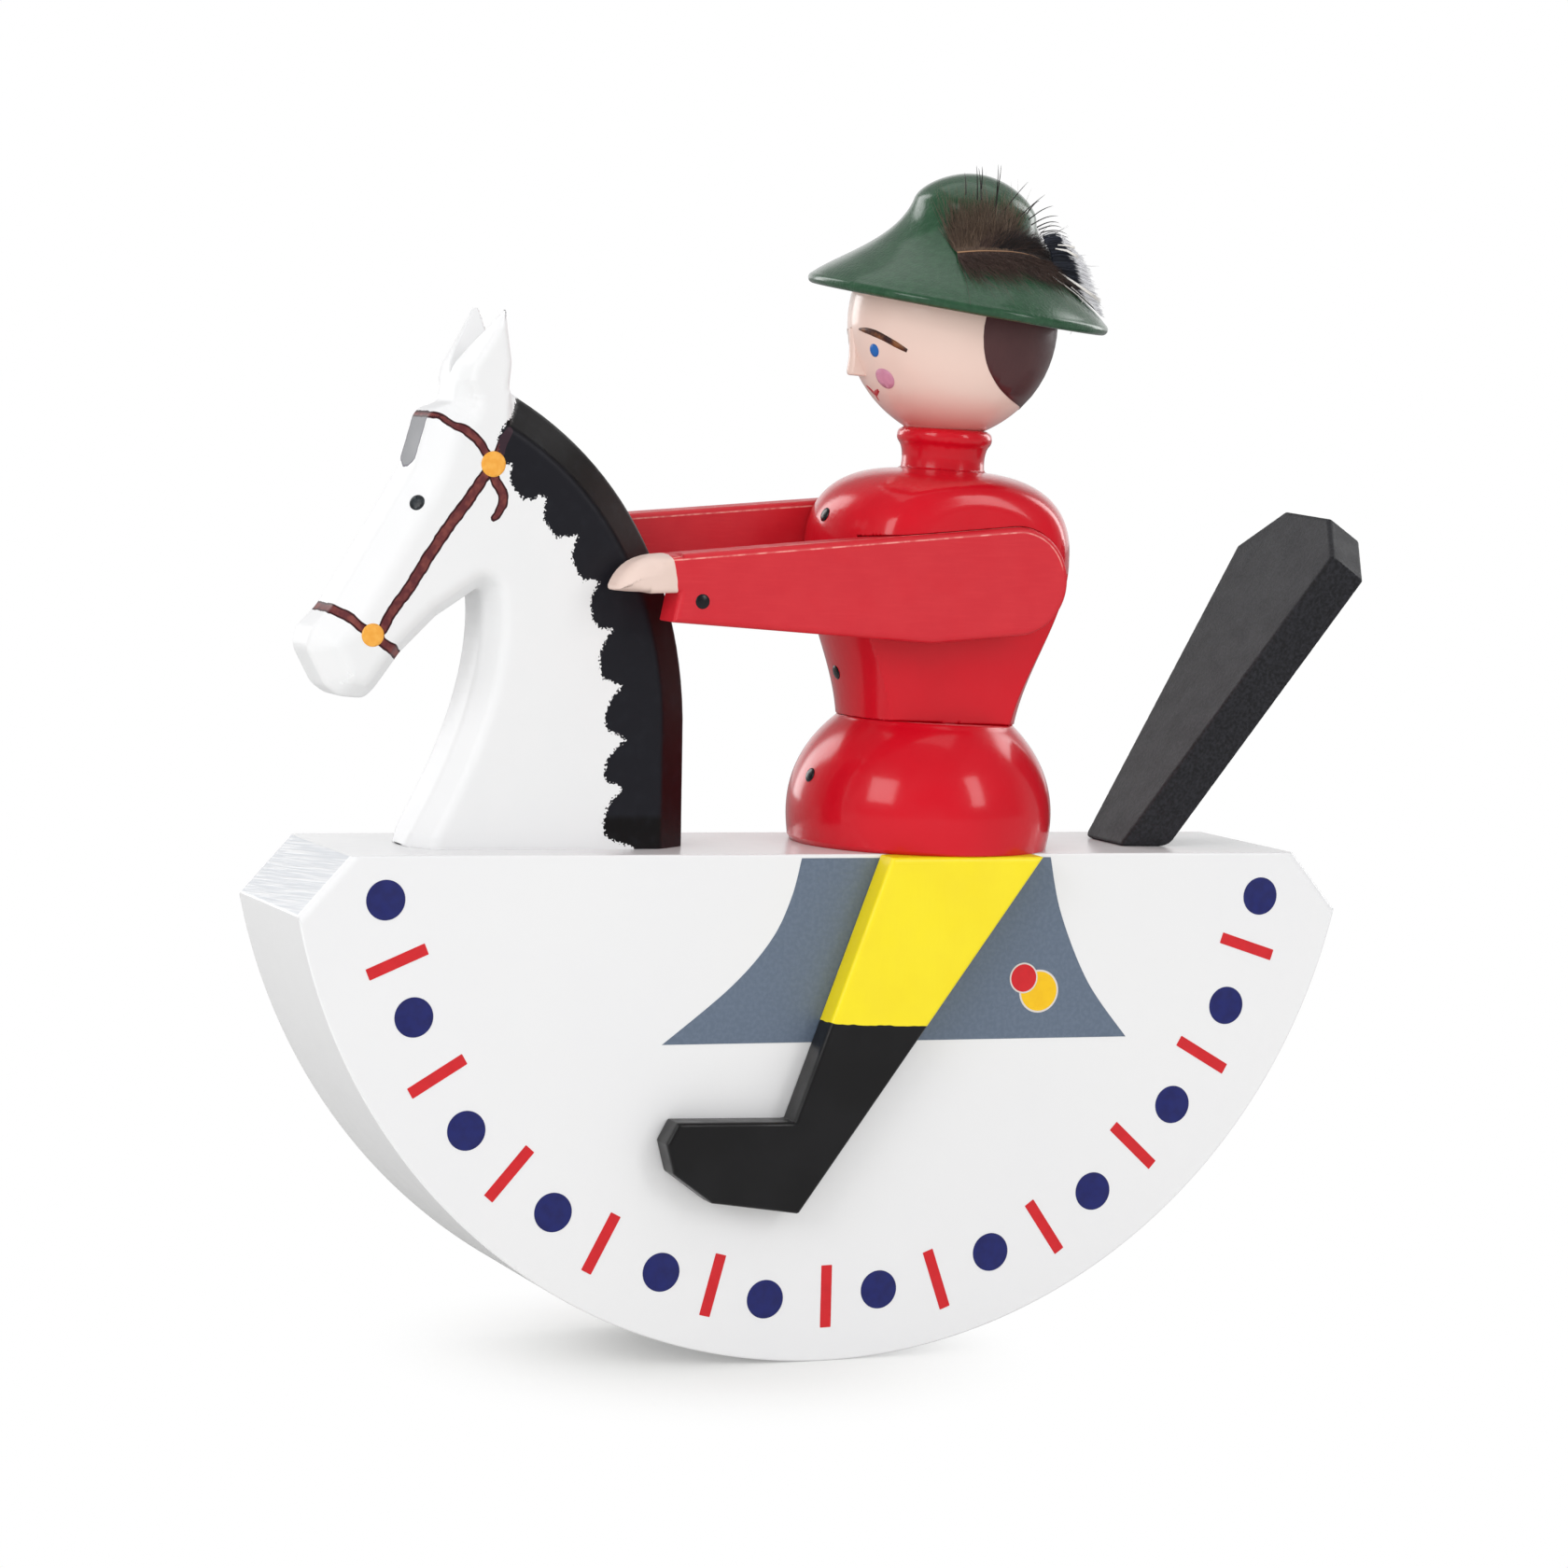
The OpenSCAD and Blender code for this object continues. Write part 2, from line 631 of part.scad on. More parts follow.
leg_dowel_in = 8;
leg_dowel_up = 3;
thigh_x = rider_x - thigh_ahead;
leg_shares = [[-0.24, -1], [-0.342, -0.985], [-0.501, -0.962], [-0.62, -0.877], [-0.645, -0.79],
    [-0.614, -0.732], [-0.265, -0.739]];
leg_outline = concat([[0, 0], [thigh_w, 0]], leg_shares * leg_h);
leg_dowel_points = [[0.304 * thigh_w, -0.2 * leg_h], [-0.288 * leg_h, -0.86 * leg_h]];

// Frame of a leg: +X back, +Z up, +Y outwards from the rocker's side.
module leg_place(side) {
    translate([thigh_x, side * rocker_t / 2, deck_z]) mirror([0, side < 0 ? 1 : 0, 0]) children();
}

module leg_dowel_at(side, p) {
    leg_place(side) translate([p[0], 0, p[1]]) rotate([-90, 0, 0]) children();
}

module leg(side) {
    difference() {
        leg_place(side) mirror([0, 1, 0]) rotate([90, 0, 0]) linear_extrude(leg_t) polygon(leg_outline);
        for (p = leg_dowel_points)
            leg_dowel_at(side, p) dowel(leg_dowel_d + 2 * glue_gap, 1, leg_dowel_up + glue_gap);
    }
}

module left_leg() {
    color("gold") leg(-1);
}

module right_leg() {
    color("gold") leg(1);
}

module leg_dowel(side, p) {
    color("burlywood") leg_dowel_at(side, p) dowel(leg_dowel_d, leg_dowel_in, leg_dowel_up);
}

module left_thigh_dowel() {
    leg_dowel(-1, leg_dowel_points[0]);
}

module left_boot_dowel() {
    leg_dowel(-1, leg_dowel_points[1]);
}

module right_thigh_dowel() {
    leg_dowel(1, leg_dowel_points[0]);
}

module right_boot_dowel() {
    leg_dowel(1, leg_dowel_points[1]);
}

rocker();
horse();
tail();
hips();
torso();
head();
nose();
hat();
feather_quill();
feather_down();
feather_vane();
left_arm();
right_arm();
left_leg();
right_leg();
front_neck_dowel();
rear_neck_dowel();
tail_dowel();
spine_dowel();
head_dowel();
hat_dowel();
left_shoulder_dowel();
right_shoulder_dowel();
left_thigh_dowel();
left_boot_dowel();
right_thigh_dowel();
right_boot_dowel();
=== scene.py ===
"""Looks of a wooden balancing rider toy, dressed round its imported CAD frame.

Sizes are millimetres in the CAD frame, and meshes are written in metres. The horse looks along -X,
the rider's left side is -Y and +Z is up.
"""

import logging
import math
from dataclasses import dataclass
from enum import Enum
from functools import partial
from typing import Callable, Optional, Sequence

import bmesh
import bpy
import numpy as np
from mathutils import Matrix, Vector
from mathutils.geometry import delaunay_2d_cdt


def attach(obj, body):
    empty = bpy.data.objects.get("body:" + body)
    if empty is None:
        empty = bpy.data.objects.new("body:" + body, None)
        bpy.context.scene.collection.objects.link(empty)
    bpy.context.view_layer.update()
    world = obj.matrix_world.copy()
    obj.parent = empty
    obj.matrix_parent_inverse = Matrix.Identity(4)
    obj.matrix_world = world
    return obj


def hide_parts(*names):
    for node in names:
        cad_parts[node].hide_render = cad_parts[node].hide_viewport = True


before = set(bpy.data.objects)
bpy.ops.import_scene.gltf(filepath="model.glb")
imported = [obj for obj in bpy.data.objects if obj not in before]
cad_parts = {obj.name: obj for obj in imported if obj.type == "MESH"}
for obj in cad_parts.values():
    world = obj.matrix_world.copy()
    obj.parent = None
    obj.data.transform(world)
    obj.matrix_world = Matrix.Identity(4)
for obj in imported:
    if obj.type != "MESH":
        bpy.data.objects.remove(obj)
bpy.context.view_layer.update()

log = logging.getLogger("rider_toy")
MM = 0.001
SEED = 11
# Shared measures: the step that slopes are taken over, a distance that counts as outside, how deep paint is
# sunk, and how close points are when they are merged, which is in metres.
SLOPE_STEP = 0.02
OUTSIDE = -9.0
SUNK = 0.08
WELD = 1e-7
# The spans of noise values that make an even pattern and soft patches.
EVEN = (0.3, 0.7)
PATCHES = (0.35, 0.7)
Points = np.ndarray
Face = Sequence[int]
Pair = tuple[float, float]
Rows = Sequence[Sequence[float]]
Piece = bpy.types.Object
Tree = bpy.types.NodeTree
Socket = bpy.types.NodeSocket
Field = Callable[[Points], Points]
Place = Callable[[Points], tuple[Points, Points]]


class Side(Enum):
    """A side of the toy, as the sign of its Y."""

    LEFT = -1
    RIGHT = 1

    @property
    def label(self) -> str:
        """The side's name in piece and node names."""
        return self.name.lower()


class Body(Enum):
    """The CAD bodies that pieces ride on."""

    MAIN = "horse_and_rider"
    LEFT_ARM = "left_arm"
    RIGHT_ARM = "right_arm"


# --- small tools


def linear(code: str) -> tuple[float, float, float, float]:
    """Turns an sRGB hex colour into the linear colour that shaders use.

    Args:
        code: six hex digits, with or without a leading #.

    Returns:
        Linear red, green, blue and an alpha of 1.
    """
    digits = code.lstrip("#")
    parts = [int(digits[i : i + 2], 16) / 255 for i in (0, 2, 4)]
    return tuple(c / 12.92 if c <= 0.04045 else ((c + 0.055) / 1.055) ** 2.4 for c in parts) + (1.0,)


def add(tree: Tree, kind: str, inputs: Optional[dict] = None, **settings) -> bpy.types.Node:
    """Adds a node with its settings, values and links.

    Args:
        tree: the node tree that gets the node.
        kind: the node's type name.
        inputs: for each input, by name or number, a value or the socket that is linked to it.
        settings: properties of the node itself.

    Returns:
        The new node.
    """
    node = tree.nodes.new(kind)
    for key, value in settings.items():
        setattr(node, key, value)
    for key, value in (inputs or {}).items():
        if isinstance(value, bpy.types.NodeSocket):
            tree.links.new(value, node.inputs[key])
        else:
            node.inputs[key].default_value = value
    return node


def maths(tree: Tree, operation: str, *values) -> Socket:
    """One step of arithmetic on numbers and sockets."""
    return add(tree, "ShaderNodeMath", dict(enumerate(values)), operation=operation).outputs[0]


def ranged(tree: Tree, value: Socket, low: float, high: float, to_low: float = 0.0, to_high: float = 1.0) -> Socket:
    """Maps a span of values to another, smoothly and held at its ends."""
    spans = dict(enumerate((value, low, high, to_low, to_high)))
    return add(tree, "ShaderNodeMapRange", spans, interpolation_type="SMOOTHSTEP").outputs[0]


def blend(tree: Tree, share, first, second) -> Socket:
    """Mixes two colours by a share, each a number or colour or a socket."""
    return add(tree, "ShaderNodeMix", {"Factor": share, 6: first, 7: second}, data_type="RGBA").outputs[2]


def stored(tree: Tree, name: str) -> Socket:
    """The number that a mesh carries at each point under a name."""
    return add(tree, "ShaderNodeAttribute", attribute_name=name).outputs["Fac"]


def noise(tree: Tree, at: Socket, size: float, detail: float = 3) -> Socket:
    """A cloudy pattern whose patches are about size millimetres wide."""
    return add(tree, "ShaderNodeTexNoise", {"Vector": at, "Scale": 1 / size, "Detail": detail}).outputs[0]


def clouds(tree: Tree, at: Socket, size: float, spans: Sequence[float], detail: float = 3) -> Socket:
    """The same pattern, ranged from one span of values to another."""
    return ranged(tree, noise(tree, at, size, detail), *spans)


def streaks(tree: Tree, at: Socket, tilt: Sequence[float], scale: Sequence[float], shape: dict) -> Socket:
    """A pattern that is drawn out along one axis.

    Args:
        tree: the material's tree.
        at: the coordinates.
        tilt: the turn of the coordinates, in degrees about X, Y and Z.
        scale: patches in a millimetre along each axis.
        shape: the noise's detail and roughness.

    Returns:
        The pattern's value.
    """
    leaning = add(tree, "ShaderNodeMapping", {"Vector": at, "Rotation": [math.radians(a) for a in tilt]})
    long = add(tree, "ShaderNodeMapping", {"Vector": leaning.outputs[0], "Scale": scale})
    return add(tree, "ShaderNodeTexNoise", {"Vector": long.outputs[0], "Scale": 1.0, **shape}).outputs[0]


def cleared(owner: bpy.types.ID) -> Tree:
    """The empty node tree of a new material or world."""
    owner.use_nodes = True
    owner.node_tree.nodes.clear()
    return owner.node_tree


def moved(x: float, y: float, z: float) -> Matrix:
    """A shift, in millimetres."""
    return Matrix.Translation((x, y, z))


def turned(degrees: float, axis: str) -> Matrix:
    """A turn about X, Y or Z, in degrees."""
    return Matrix.Rotation(math.radians(degrees), 4, axis)


def flipped(axis: str) -> Matrix:
    """A mirror image across X, Y or Z."""
    return Matrix.Diagonal([-1.0 if a == axis else 1.0 for a in "XYZ"] + [1.0])


def placed(points: Points, matrix: Matrix) -> Points:
    """Rows of x, y and z, put through a matrix."""
    m = np.array(matrix)
    return np.asarray(points, float) @ m[:3, :3].T + m[:3, 3]


def bezier(control: Rows, steps: int) -> Points:
    """Samples a cubic curve without its last point.

    Args:
        control: its four control points.
        steps: how many points to give.

    Returns:
        The points, one a row.
    """
    p = np.asarray(control, float)
    t = np.linspace(0, 1, steps, endpoint=False)[:, None]
    return (1 - t) ** 3 * p[0] + 3 * t * (1 - t) ** 2 * p[1] + 3 * t * t * (1 - t) * p[2] + t**3 * p[3]


def smooth_path(points: Rows, step: float) -> Points:
    """Runs a Catmull-Rom curve through points.

    Args:
        points: the points it passes.
        step: the longest distance between samples.

    Returns:
        The samples, one a row.
    """
    p = np.asarray(points, float)
    last = len(p) - 1
    out = []
    for i in range(last):
        a, b, c, d = (p[min(max(k, 0), last)] for k in (i - 1, i, i + 1, i + 2))
        count = max(1, math.ceil(np.linalg.norm(c - b) / step))
        for t in np.arange(count) / count:
            even = 2 * b + (c - a) * t + (2 * a - 5 * b + 4 * c - d) * t**2
            out.append(0.5 * (even + (3 * b - a - 3 * c + d) * t**3))
    return np.array(out + [p[-1]])


def rounded_corners(rows: Points, reach: Points, steps: int = 6) -> Points:
    """Rounds a closed outline's corners.

    Args:
        rows: the corners; further columns are carried along.
        reach: how far from each corner its rounding starts, at most.
        steps: points on each rounding.

    Returns:
        The rounded rows.
    """
    out = []
    n = len(rows)
    t = np.linspace(0, 1, steps)[:, None]
    for i in range(n):
        a, b, c = rows[i - 1], rows[i], rows[(i + 1) % n]
        u, v = (b - a)[:2], (c - b)[:2]
        if reach[i] <= 0 or u @ v > 0.98 * np.linalg.norm(u) * np.linalg.norm(v):
            out.append(b[None])
            continue
        before, after = np.linalg.norm((a - b)[:2]), np.linalg.norm((c - b)[:2])
        cut = min(reach[i], 0.45 * before, 0.45 * after)
        p, q = b + (a - b) * cut / before, b + (c - b) * cut / after
        out.append((1 - t) ** 2 * p + 2 * t * (1 - t) * b + t * t * q)
    return np.concatenate(out)


def nearest_edge(q: Points, starts: Points, ends: Points) -> tuple[Points, Points, Points]:
    """Finds the nearest of the edges in a plane for each point.

    Args:
        q: rows of two coordinates.
        starts: where the edges start.
        ends: where they end.

    Returns:
        The distance, the edge's number and the place along it, 0 to 1.
    """
    best, edge, along = np.full(len(q), np.inf), np.zeros(len(q), int), np.zeros(len(q))
    for i, (a, b) in enumerate(zip(starts, ends)):
        d = b - a
        t = np.clip(((q - a) @ d) / max(d @ d, 1e-12), 0, 1)
        gap = ((q - a - t[:, None] * d) ** 2).sum(1)
        near = gap < best
        best[near], edge[near], along[near] = gap[near], i, t[near]
    return np.sqrt(best), edge, along


def outline_distance(q: Points, outline: Points) -> tuple[Points, Points, Points]:
    """Measures how far points of a plane are from an outline.

    Args:
        q: rows of two coordinates.
        outline: the closed outline's corners.

    Returns:
        The distance, below 0 inside; the number of the nearest edge; the place along that edge, 0 to 1.
    """
    ends = np.roll(outline, -1, axis=0)
    inside = np.zeros(len(q), bool)
    for a, b in zip(outline, ends):
        crosses = (a[1] > q[:, 1]) != (b[1] > q[:, 1])
        rise = b[1] - a[1] if abs(b[1] - a[1]) > 1e-12 else 1e-12
        inside ^= crosses & (q[:, 0] < (b[0] - a[0]) * (q[:, 1] - a[1]) / rise + a[0])
    gap, edge, along = nearest_edge(q, outline, ends)
    return np.where(inside, -gap, gap), edge, along


def unit(rows: Points) -> Points:
    """Directions, each with a length of 1."""
    return rows / np.linalg.norm(rows, axis=1)[:, None]


def soft_max(a: Points, b: Points, reach: float) -> Points:
    """The larger of two distances, rounded over reach where they meet."""
    h = np.clip(0.5 + 0.5 * (a - b) / reach, 0, 1)
    return b + (a - b) * h + reach * h * (1 - h)


def gradient(distance: Field, points: Points, here: Optional[Points] = None) -> Points:
    """Gives a distance field's slope.

    Args:
        distance: the field, from points to distances.
        points: where to look.
        here: the distances there, if they are known.

    Returns:
        The slope at each point.
    """
    here = distance(points) if here is None else here
    steps = np.eye(3) * SLOPE_STEP
    return np.stack([(distance(points + axis) - here) / SLOPE_STEP for axis in steps], axis=1)


def settled(distance: Field, points: Points, level: float = 0.0, steps: int = 3) -> Points:
    """Moves points onto a level of a distance field.

    Args:
        distance: the field.
        points: where they start.
        level: the distance that they end at.
        steps: how often to correct them.

    Returns:
        The moved points.
    """
    p = np.array(points, float)
    for _ in range(steps):
        here = distance(p)
        g = gradient(distance, p, here)
        size = np.maximum((g * g).sum(1), 0.05)
        p -= (np.clip(here - level, -1.0, 1.0) / size)[:, None] * g
    return p


# --- meshes


def linked(name: str, data: bpy.types.ID) -> Piece:
    """A new object in the scene."""
    obj = bpy.data.objects.new(name, data)
    bpy.context.scene.collection.objects.link(obj)
    return obj


def raw_piece(name: str, points: Points, edges: Sequence[Face] = (), faces: Sequence[Face] = ()) -> Piece:
    """Makes an object from points in millimetres, just as they are."""
    mesh = bpy.data.meshes.new(name)
    mesh.from_pydata((np.asarray(points, float) * MM).tolist(), list(edges), [list(map(int, f)) for f in faces])
    return linked(name, mesh)


def make_object(name: str, points: Points, faces: Sequence[Face], matrix: Optional[Matrix] = None) -> Piece:
    """Makes an object from points in millimetres.

    Args:
        name: the piece's name.
        points: rows of x, y and z.
        faces: each face's point numbers.
        matrix: the place that the points are put through first.

    Returns:
        The new object, with its faces pointing out.
    """
    obj = raw_piece(name, placed(points, matrix) if matrix is not None else points, faces=faces)
    bm = bmesh.new()
    bm.from_mesh(obj.data)
    bmesh.ops.remove_doubles(bm, verts=bm.verts, dist=WELD)
    bmesh.ops.recalc_face_normals(bm, faces=bm.faces)
    bm.to_mesh(obj.data)
    bm.free()
    return obj


def points_of(obj: Piece) -> Points:
    """An object's points, in millimetres."""
    co = np.zeros(len(obj.data.vertices) * 3, np.float32)
    obj.data.vertices.foreach_get("co", co)
    return co.reshape(-1, 3).astype(float) / MM


def set_points(obj: Piece, points: Points) -> None:
    """Writes an object's points, given in millimetres."""
    obj.data.vertices.foreach_set("co", (points * MM).astype(np.float32).ravel())
    obj.data.update()


def set_attribute(obj: Piece, name: str, values: Points) -> None:
    """Stores a number for each point of a mesh."""
    layer = obj.data.attributes.get(name) or obj.data.attributes.new(name, "FLOAT", "POINT")
    layer.data.foreach_set("value", np.asarray(values, np.float32))


def smoothed(obj: Piece, smooth: bool = True) -> Piece:
    """Shades all faces of an object smooth, or flat."""
    obj.data.polygons.foreach_set("use_smooth", [smooth] * len(obj.data.polygons))
    return obj


def plain_mesh(obj: Piece) -> Piece:
    """Replaces an object's mesh by the evaluated one and drops its modifiers.

    Args:
        obj: the object with its modifiers.

    Returns:
        The same object.
    """
    evaluated = obj.evaluated_get(bpy.context.evaluated_depsgraph_get())
    mesh = bpy.data.meshes.new_from_object(evaluated)
    obj.modifiers.clear()
    old = obj.data
    obj.data = mesh
    bpy.data.meshes.remove(old)
    return obj


def bevelled(obj: Piece, width: float, segments: int, **which) -> Piece:
    """Rounds a sawn piece's edges, as sanding and lacquer do.

    Args:
        obj: the piece.
        width: how far the rounding reaches on each side of an edge.
        segments: faces across the rounding.
        which: the modifier's settings that say which edges are rounded.

    Returns:
        The same piece, with a plain mesh.
    """
    bevel = obj.modifiers.new("Soft edges", "BEVEL")
    settings = {"width": width * MM, "segments": segments, "harden_normals": True, **which}
    for key, value in settings.items():
        setattr(bevel, key, value)
    return plain_mesh(smoothed(obj))


def remeshed(obj: Piece, voxel: float, cutters: Sequence[Piece] = ()) -> Piece:
    """Cuts shapes out of a piece and gives it an even skin.

    Args:
        obj: the piece.
        voxel: the size of the skin's faces.
        cutters: the shapes, which are deleted afterwards.

    Returns:
        The same piece, with a plain mesh.
    """
    for cutter in cutters:
        cut = obj.modifiers.new("Cut", "BOOLEAN")
        cut.operation, cut.object, cut.solver = "DIFFERENCE", cutter, "EXACT"
    remesh = obj.modifiers.new("Even skin", "REMESH")
    remesh.mode, remesh.voxel_size = "VOXEL", voxel * MM
    plain_mesh(obj)
    for cutter in cutters:
        bpy.data.objects.remove(cutter)
    return obj


def refit(obj: Piece, distance: Field, floor: float = -1.0) -> None:
    """Evens out a remeshed skin and lays it exactly on a distance field.

    Args:
        obj: the piece, close to its final shape.
        distance: the field.
        floor: the height below which nothing of it reaches.
    """
    p = points_of(obj)
    edges = np.array([e.vertices[:] for e in obj.data.edges])
    degree = np.bincount(edges.ravel(), minlength=len(p))[:, None]
    for _ in range(2):
        p = settled(distance, p, steps=1)
        total = np.zeros_like(p)
        np.add.at(total, edges[:, 0], p[edges[:, 1]])
        np.add.at(total, edges[:, 1], p[edges[:, 0]])
        p = 0.5 * p + 0.5 * total / degree
    p = settled(distance, p, steps=2)
    p[:, 2] = np.maximum(p[:, 2], floor)
    set_points(obj, p)
    smoothed(obj)
    obj.data.normals_split_custom_set_from_vertices(unit(gradient(distance, p)).tolist())


def carved(q: Points, rows: Points, up: Points, top: float, depth: float) -> tuple[Points, Points, Points]:
    """Measures points against a board's outline and the bevel that is carved along it.

    Args:
        q: rows of two coordinates in the board's plane.
        rows: the outline's corners, each with the bevel's width there.
        up: the points' heights above that plane.
        top: the height of the board's face.
        depth: how deep the bevel is cut.

    Returns:
        The distance from the outline, the bevel's width nearby and the distance from its slanted face.
    """
    flat, edge, along = outline_distance(q, rows[:, :2])
    widths = rows[:, 2]
    width = widths[edge] * (1 - along) + np.roll(widths, -1)[edge] * along
    slope = depth / np.maximum(width, 0.3)
    return flat, width, (up - (top - depth) + slope * flat) / np.sqrt(1 + slope**2)


@dataclass
class SawnBoard:
    """A sawn board with sanded edges: an outline in X and Z, cut between two heights along Y."""

    rows: Points
    low: float
    high: float
    at: Matrix
    soft: float = 0.7
    carve: float = 1.8
    voxel: float = 0.36
    floor: float = -1.0
    foot_soft: float = 1.2

    def local(self, p: Points) -> tuple[Points, Points, Points]:
        """Splits a place into outline distance, slab distance and the distance from the carved bevel."""
        q = placed(p, self.at.inverted())
        flat, width, facet = carved(q[:, [0, 2]], self.rows, q[:, 1], self.high, self.carve)
        slab = np.abs(q[:, 1] - (self.low + self.high) / 2) - (self.high - self.low) / 2
        return flat, slab, np.where(width > 0.25, facet, OUTSIDE)

    def distance(self, p: Points) -> Points:
        """The distance of points from the board's skin, below 0 inside."""
        flat, slab, facet = self.local(p)
        skin = soft_max(soft_max(flat, slab, self.soft), facet, self.soft)
        return skin if self.floor < 0 else soft_max(skin, self.floor - p[:, 2], self.foot_soft)

    def make(self, name: str) -> Piece:
        """Cuts the board, levels its foot and sands it.

        Args:
            name: the piece's name.

        Returns:
            The piece. Its "edge" attribute is 1 along the rounded edges and 0 a little way from them.
        """
        obj = make_object(name, *board(self.rows[:, :2], self.low, self.high), self.at)
        if self.floor > 0:
            bm = bmesh.new()
            bm.from_mesh(obj.data)
            everything = [*bm.verts, *bm.edges, *bm.faces]
            plane = {"plane_co": (0, 0, self.floor * MM), "plane_no": (0, 0, 1)}
            cut = bmesh.ops.bisect_plane(bm, geom=everything, clear_inner=True, **plane)["geom_cut"]
            bmesh.ops.edgeloop_fill(bm, edges=[e for e in cut if isinstance(e, bmesh.types.BMEdge)])
            bmesh.ops.recalc_face_normals(bm, faces=bm.faces)
            bm.to_mesh(obj.data)
            bm.free()
        refit(remeshed(obj, self.voxel), self.distance, self.floor)
        flat, slab, _ = self.local(points_of(obj))
        set_attribute(obj, "edge", np.clip(1.35 + np.minimum(flat, slab) / (0.28 * self.soft), 0, 1))
        return obj


def lathe(profile: Points, segments: int = 128) -> tuple[Points, list[Face]]:
    """Turns a profile about Z.

    Args:
        profile: rows of radius and height, from one end to the other; a radius of 0 makes a pole.
        segments: steps round the axis.

    Returns:
        Points and faces.
    """
    points: list = []
    rings: list[list[int]] = []
    angles = np.arange(segments) * 2 * math.pi / segments
    for r, z in profile:
        if r < 1e-6:
            rings.append([len(points)])
            points.append((0, 0, z))
        else:
            rings.append(list(range(len(points), len(points) + segments)))
            points.extend(zip(r * np.cos(angles), r * np.sin(angles), np.full(segments, z)))
    faces: list = []
    for low, high in zip(rings, rings[1:]):
        for i in range(segments):
            j = (i + 1) % segments
            if len(low) == 1:
                faces.append((low[0], high[i], high[j]))
            elif len(high) == 1:
                faces.append((low[i], high[0], low[j]))
            else:
                faces.append((low[i], low[j], high[j], high[i]))
    return np.array(points), faces


def board(outline: Points, low: float, high: float) -> tuple[Points, list[Face]]:
    """Cuts a board with an XZ outline between two heights along Y.

    Args:
        outline: rows of x and z.
        low: its lower Y.
        high: its upper Y.

    Returns:
        Points and faces.
    """
    n = len(outline)
    points = [(x, y, z) for y in (low, high) for x, z in outline]
    faces: list = [tuple(range(n)), tuple(range(2 * n - 1, n - 1, -1))]
    faces += [(i, (i + 1) % n, n + (i + 1) % n, n + i) for i in range(n)]
    return np.array(points), faces


def film(name: str, outline: Points, place: Place, spacing: float, height: float, dome: float = 0.0) -> Piece:
    """Lays a thin coat of paint with a given outline on a surface.

    Args:
        name: the piece's name.
        outline: the closed outline, in the surface's own two coordinates.
        place: gives the surface's points and outward directions at such coordinates.
        spacing: the distance between the coat's inner points.
        height: how far the coat stands out.
        dome: how much further its middle stands out.

    Returns:
        The coat, a closed solid that is sunk a little into the surface.
    """
    outline = np.asarray(outline, float)
    low, high = outline.min(0), outline.max(0)
    columns, rows = (np.arange(a + spacing / 2, b, spacing) for a, b in zip(low, high))
    grid = np.stack(np.meshgrid(columns, rows), -1).reshape(-1, 2)
    grid[:, 0] += np.where(np.round((grid[:, 1] - low[1]) / spacing).astype(int) % 2, spacing / 2, 0)
    grid = grid[outline_distance(grid, outline)[0] < -0.45 * spacing] if len(grid) else grid
    flat = [Vector(p) for p in np.concatenate([outline, grid])]
    n = len(outline)
    result = delaunay_2d_cdt(flat, [(i, (i + 1) % n) for i in range(n)], [list(range(n))], 1, 1e-7)
    uv = np.array([tuple(v) for v in result[0]])
    triangles = [tuple(f) for f in result[2]]
    surface, out = place(uv)
    rise = np.full(len(uv), height)
    if dome:
        gap = -outline_distance(uv, outline)[0]
        rise += dome * np.sqrt(np.clip(1 - (1 - gap / max(gap.max(), 1e-9)) ** 2, 0, 1))
    m = len(uv)
    sides = dict.fromkeys(side for t in triangles for side in zip(t, t[1:] + t[:1]))
    rim = [(a, b) for a, b in sides if (b, a) not in sides]
    faces = triangles + [tuple(m + i for i in reversed(t)) for t in triangles]
    faces += [(b, a, m + a, m + b) for a, b in rim]
    obj = make_object(name, np.concatenate([surface + out * rise[:, None], surface - out * SUNK]), faces)
    return smoothed(obj, dome > 0)


def circle(centre: Sequence[float], radius: float, steps: int = 40) -> Points:
    """A round outline in a plane."""
    a = np.arange(steps) * 2 * math.pi / steps
    return np.stack((centre[0] + radius * np.cos(a), centre[1] + radius * np.sin(a)), 1)


def ribbon(path: Points, widths: Sequence[float]) -> Points:
    """The outline of a brush stroke along a path.

    Args:
        path: the stroke's middle line.
        widths: the whole width at evenly spaced places along it.

    Returns:
        The closed outline.
    """
    path = np.asarray(path, float)
    d = np.gradient(path, axis=0)
    side = unit(np.stack((-d[:, 1], d[:, 0]), 1))
    half = np.interp(np.linspace(0, 1, len(path)), np.linspace(0, 1, len(widths)), widths)[:, None] / 2
    return np.concatenate([path + side * half, (path - side * half)[::-1]])


# --- finishes


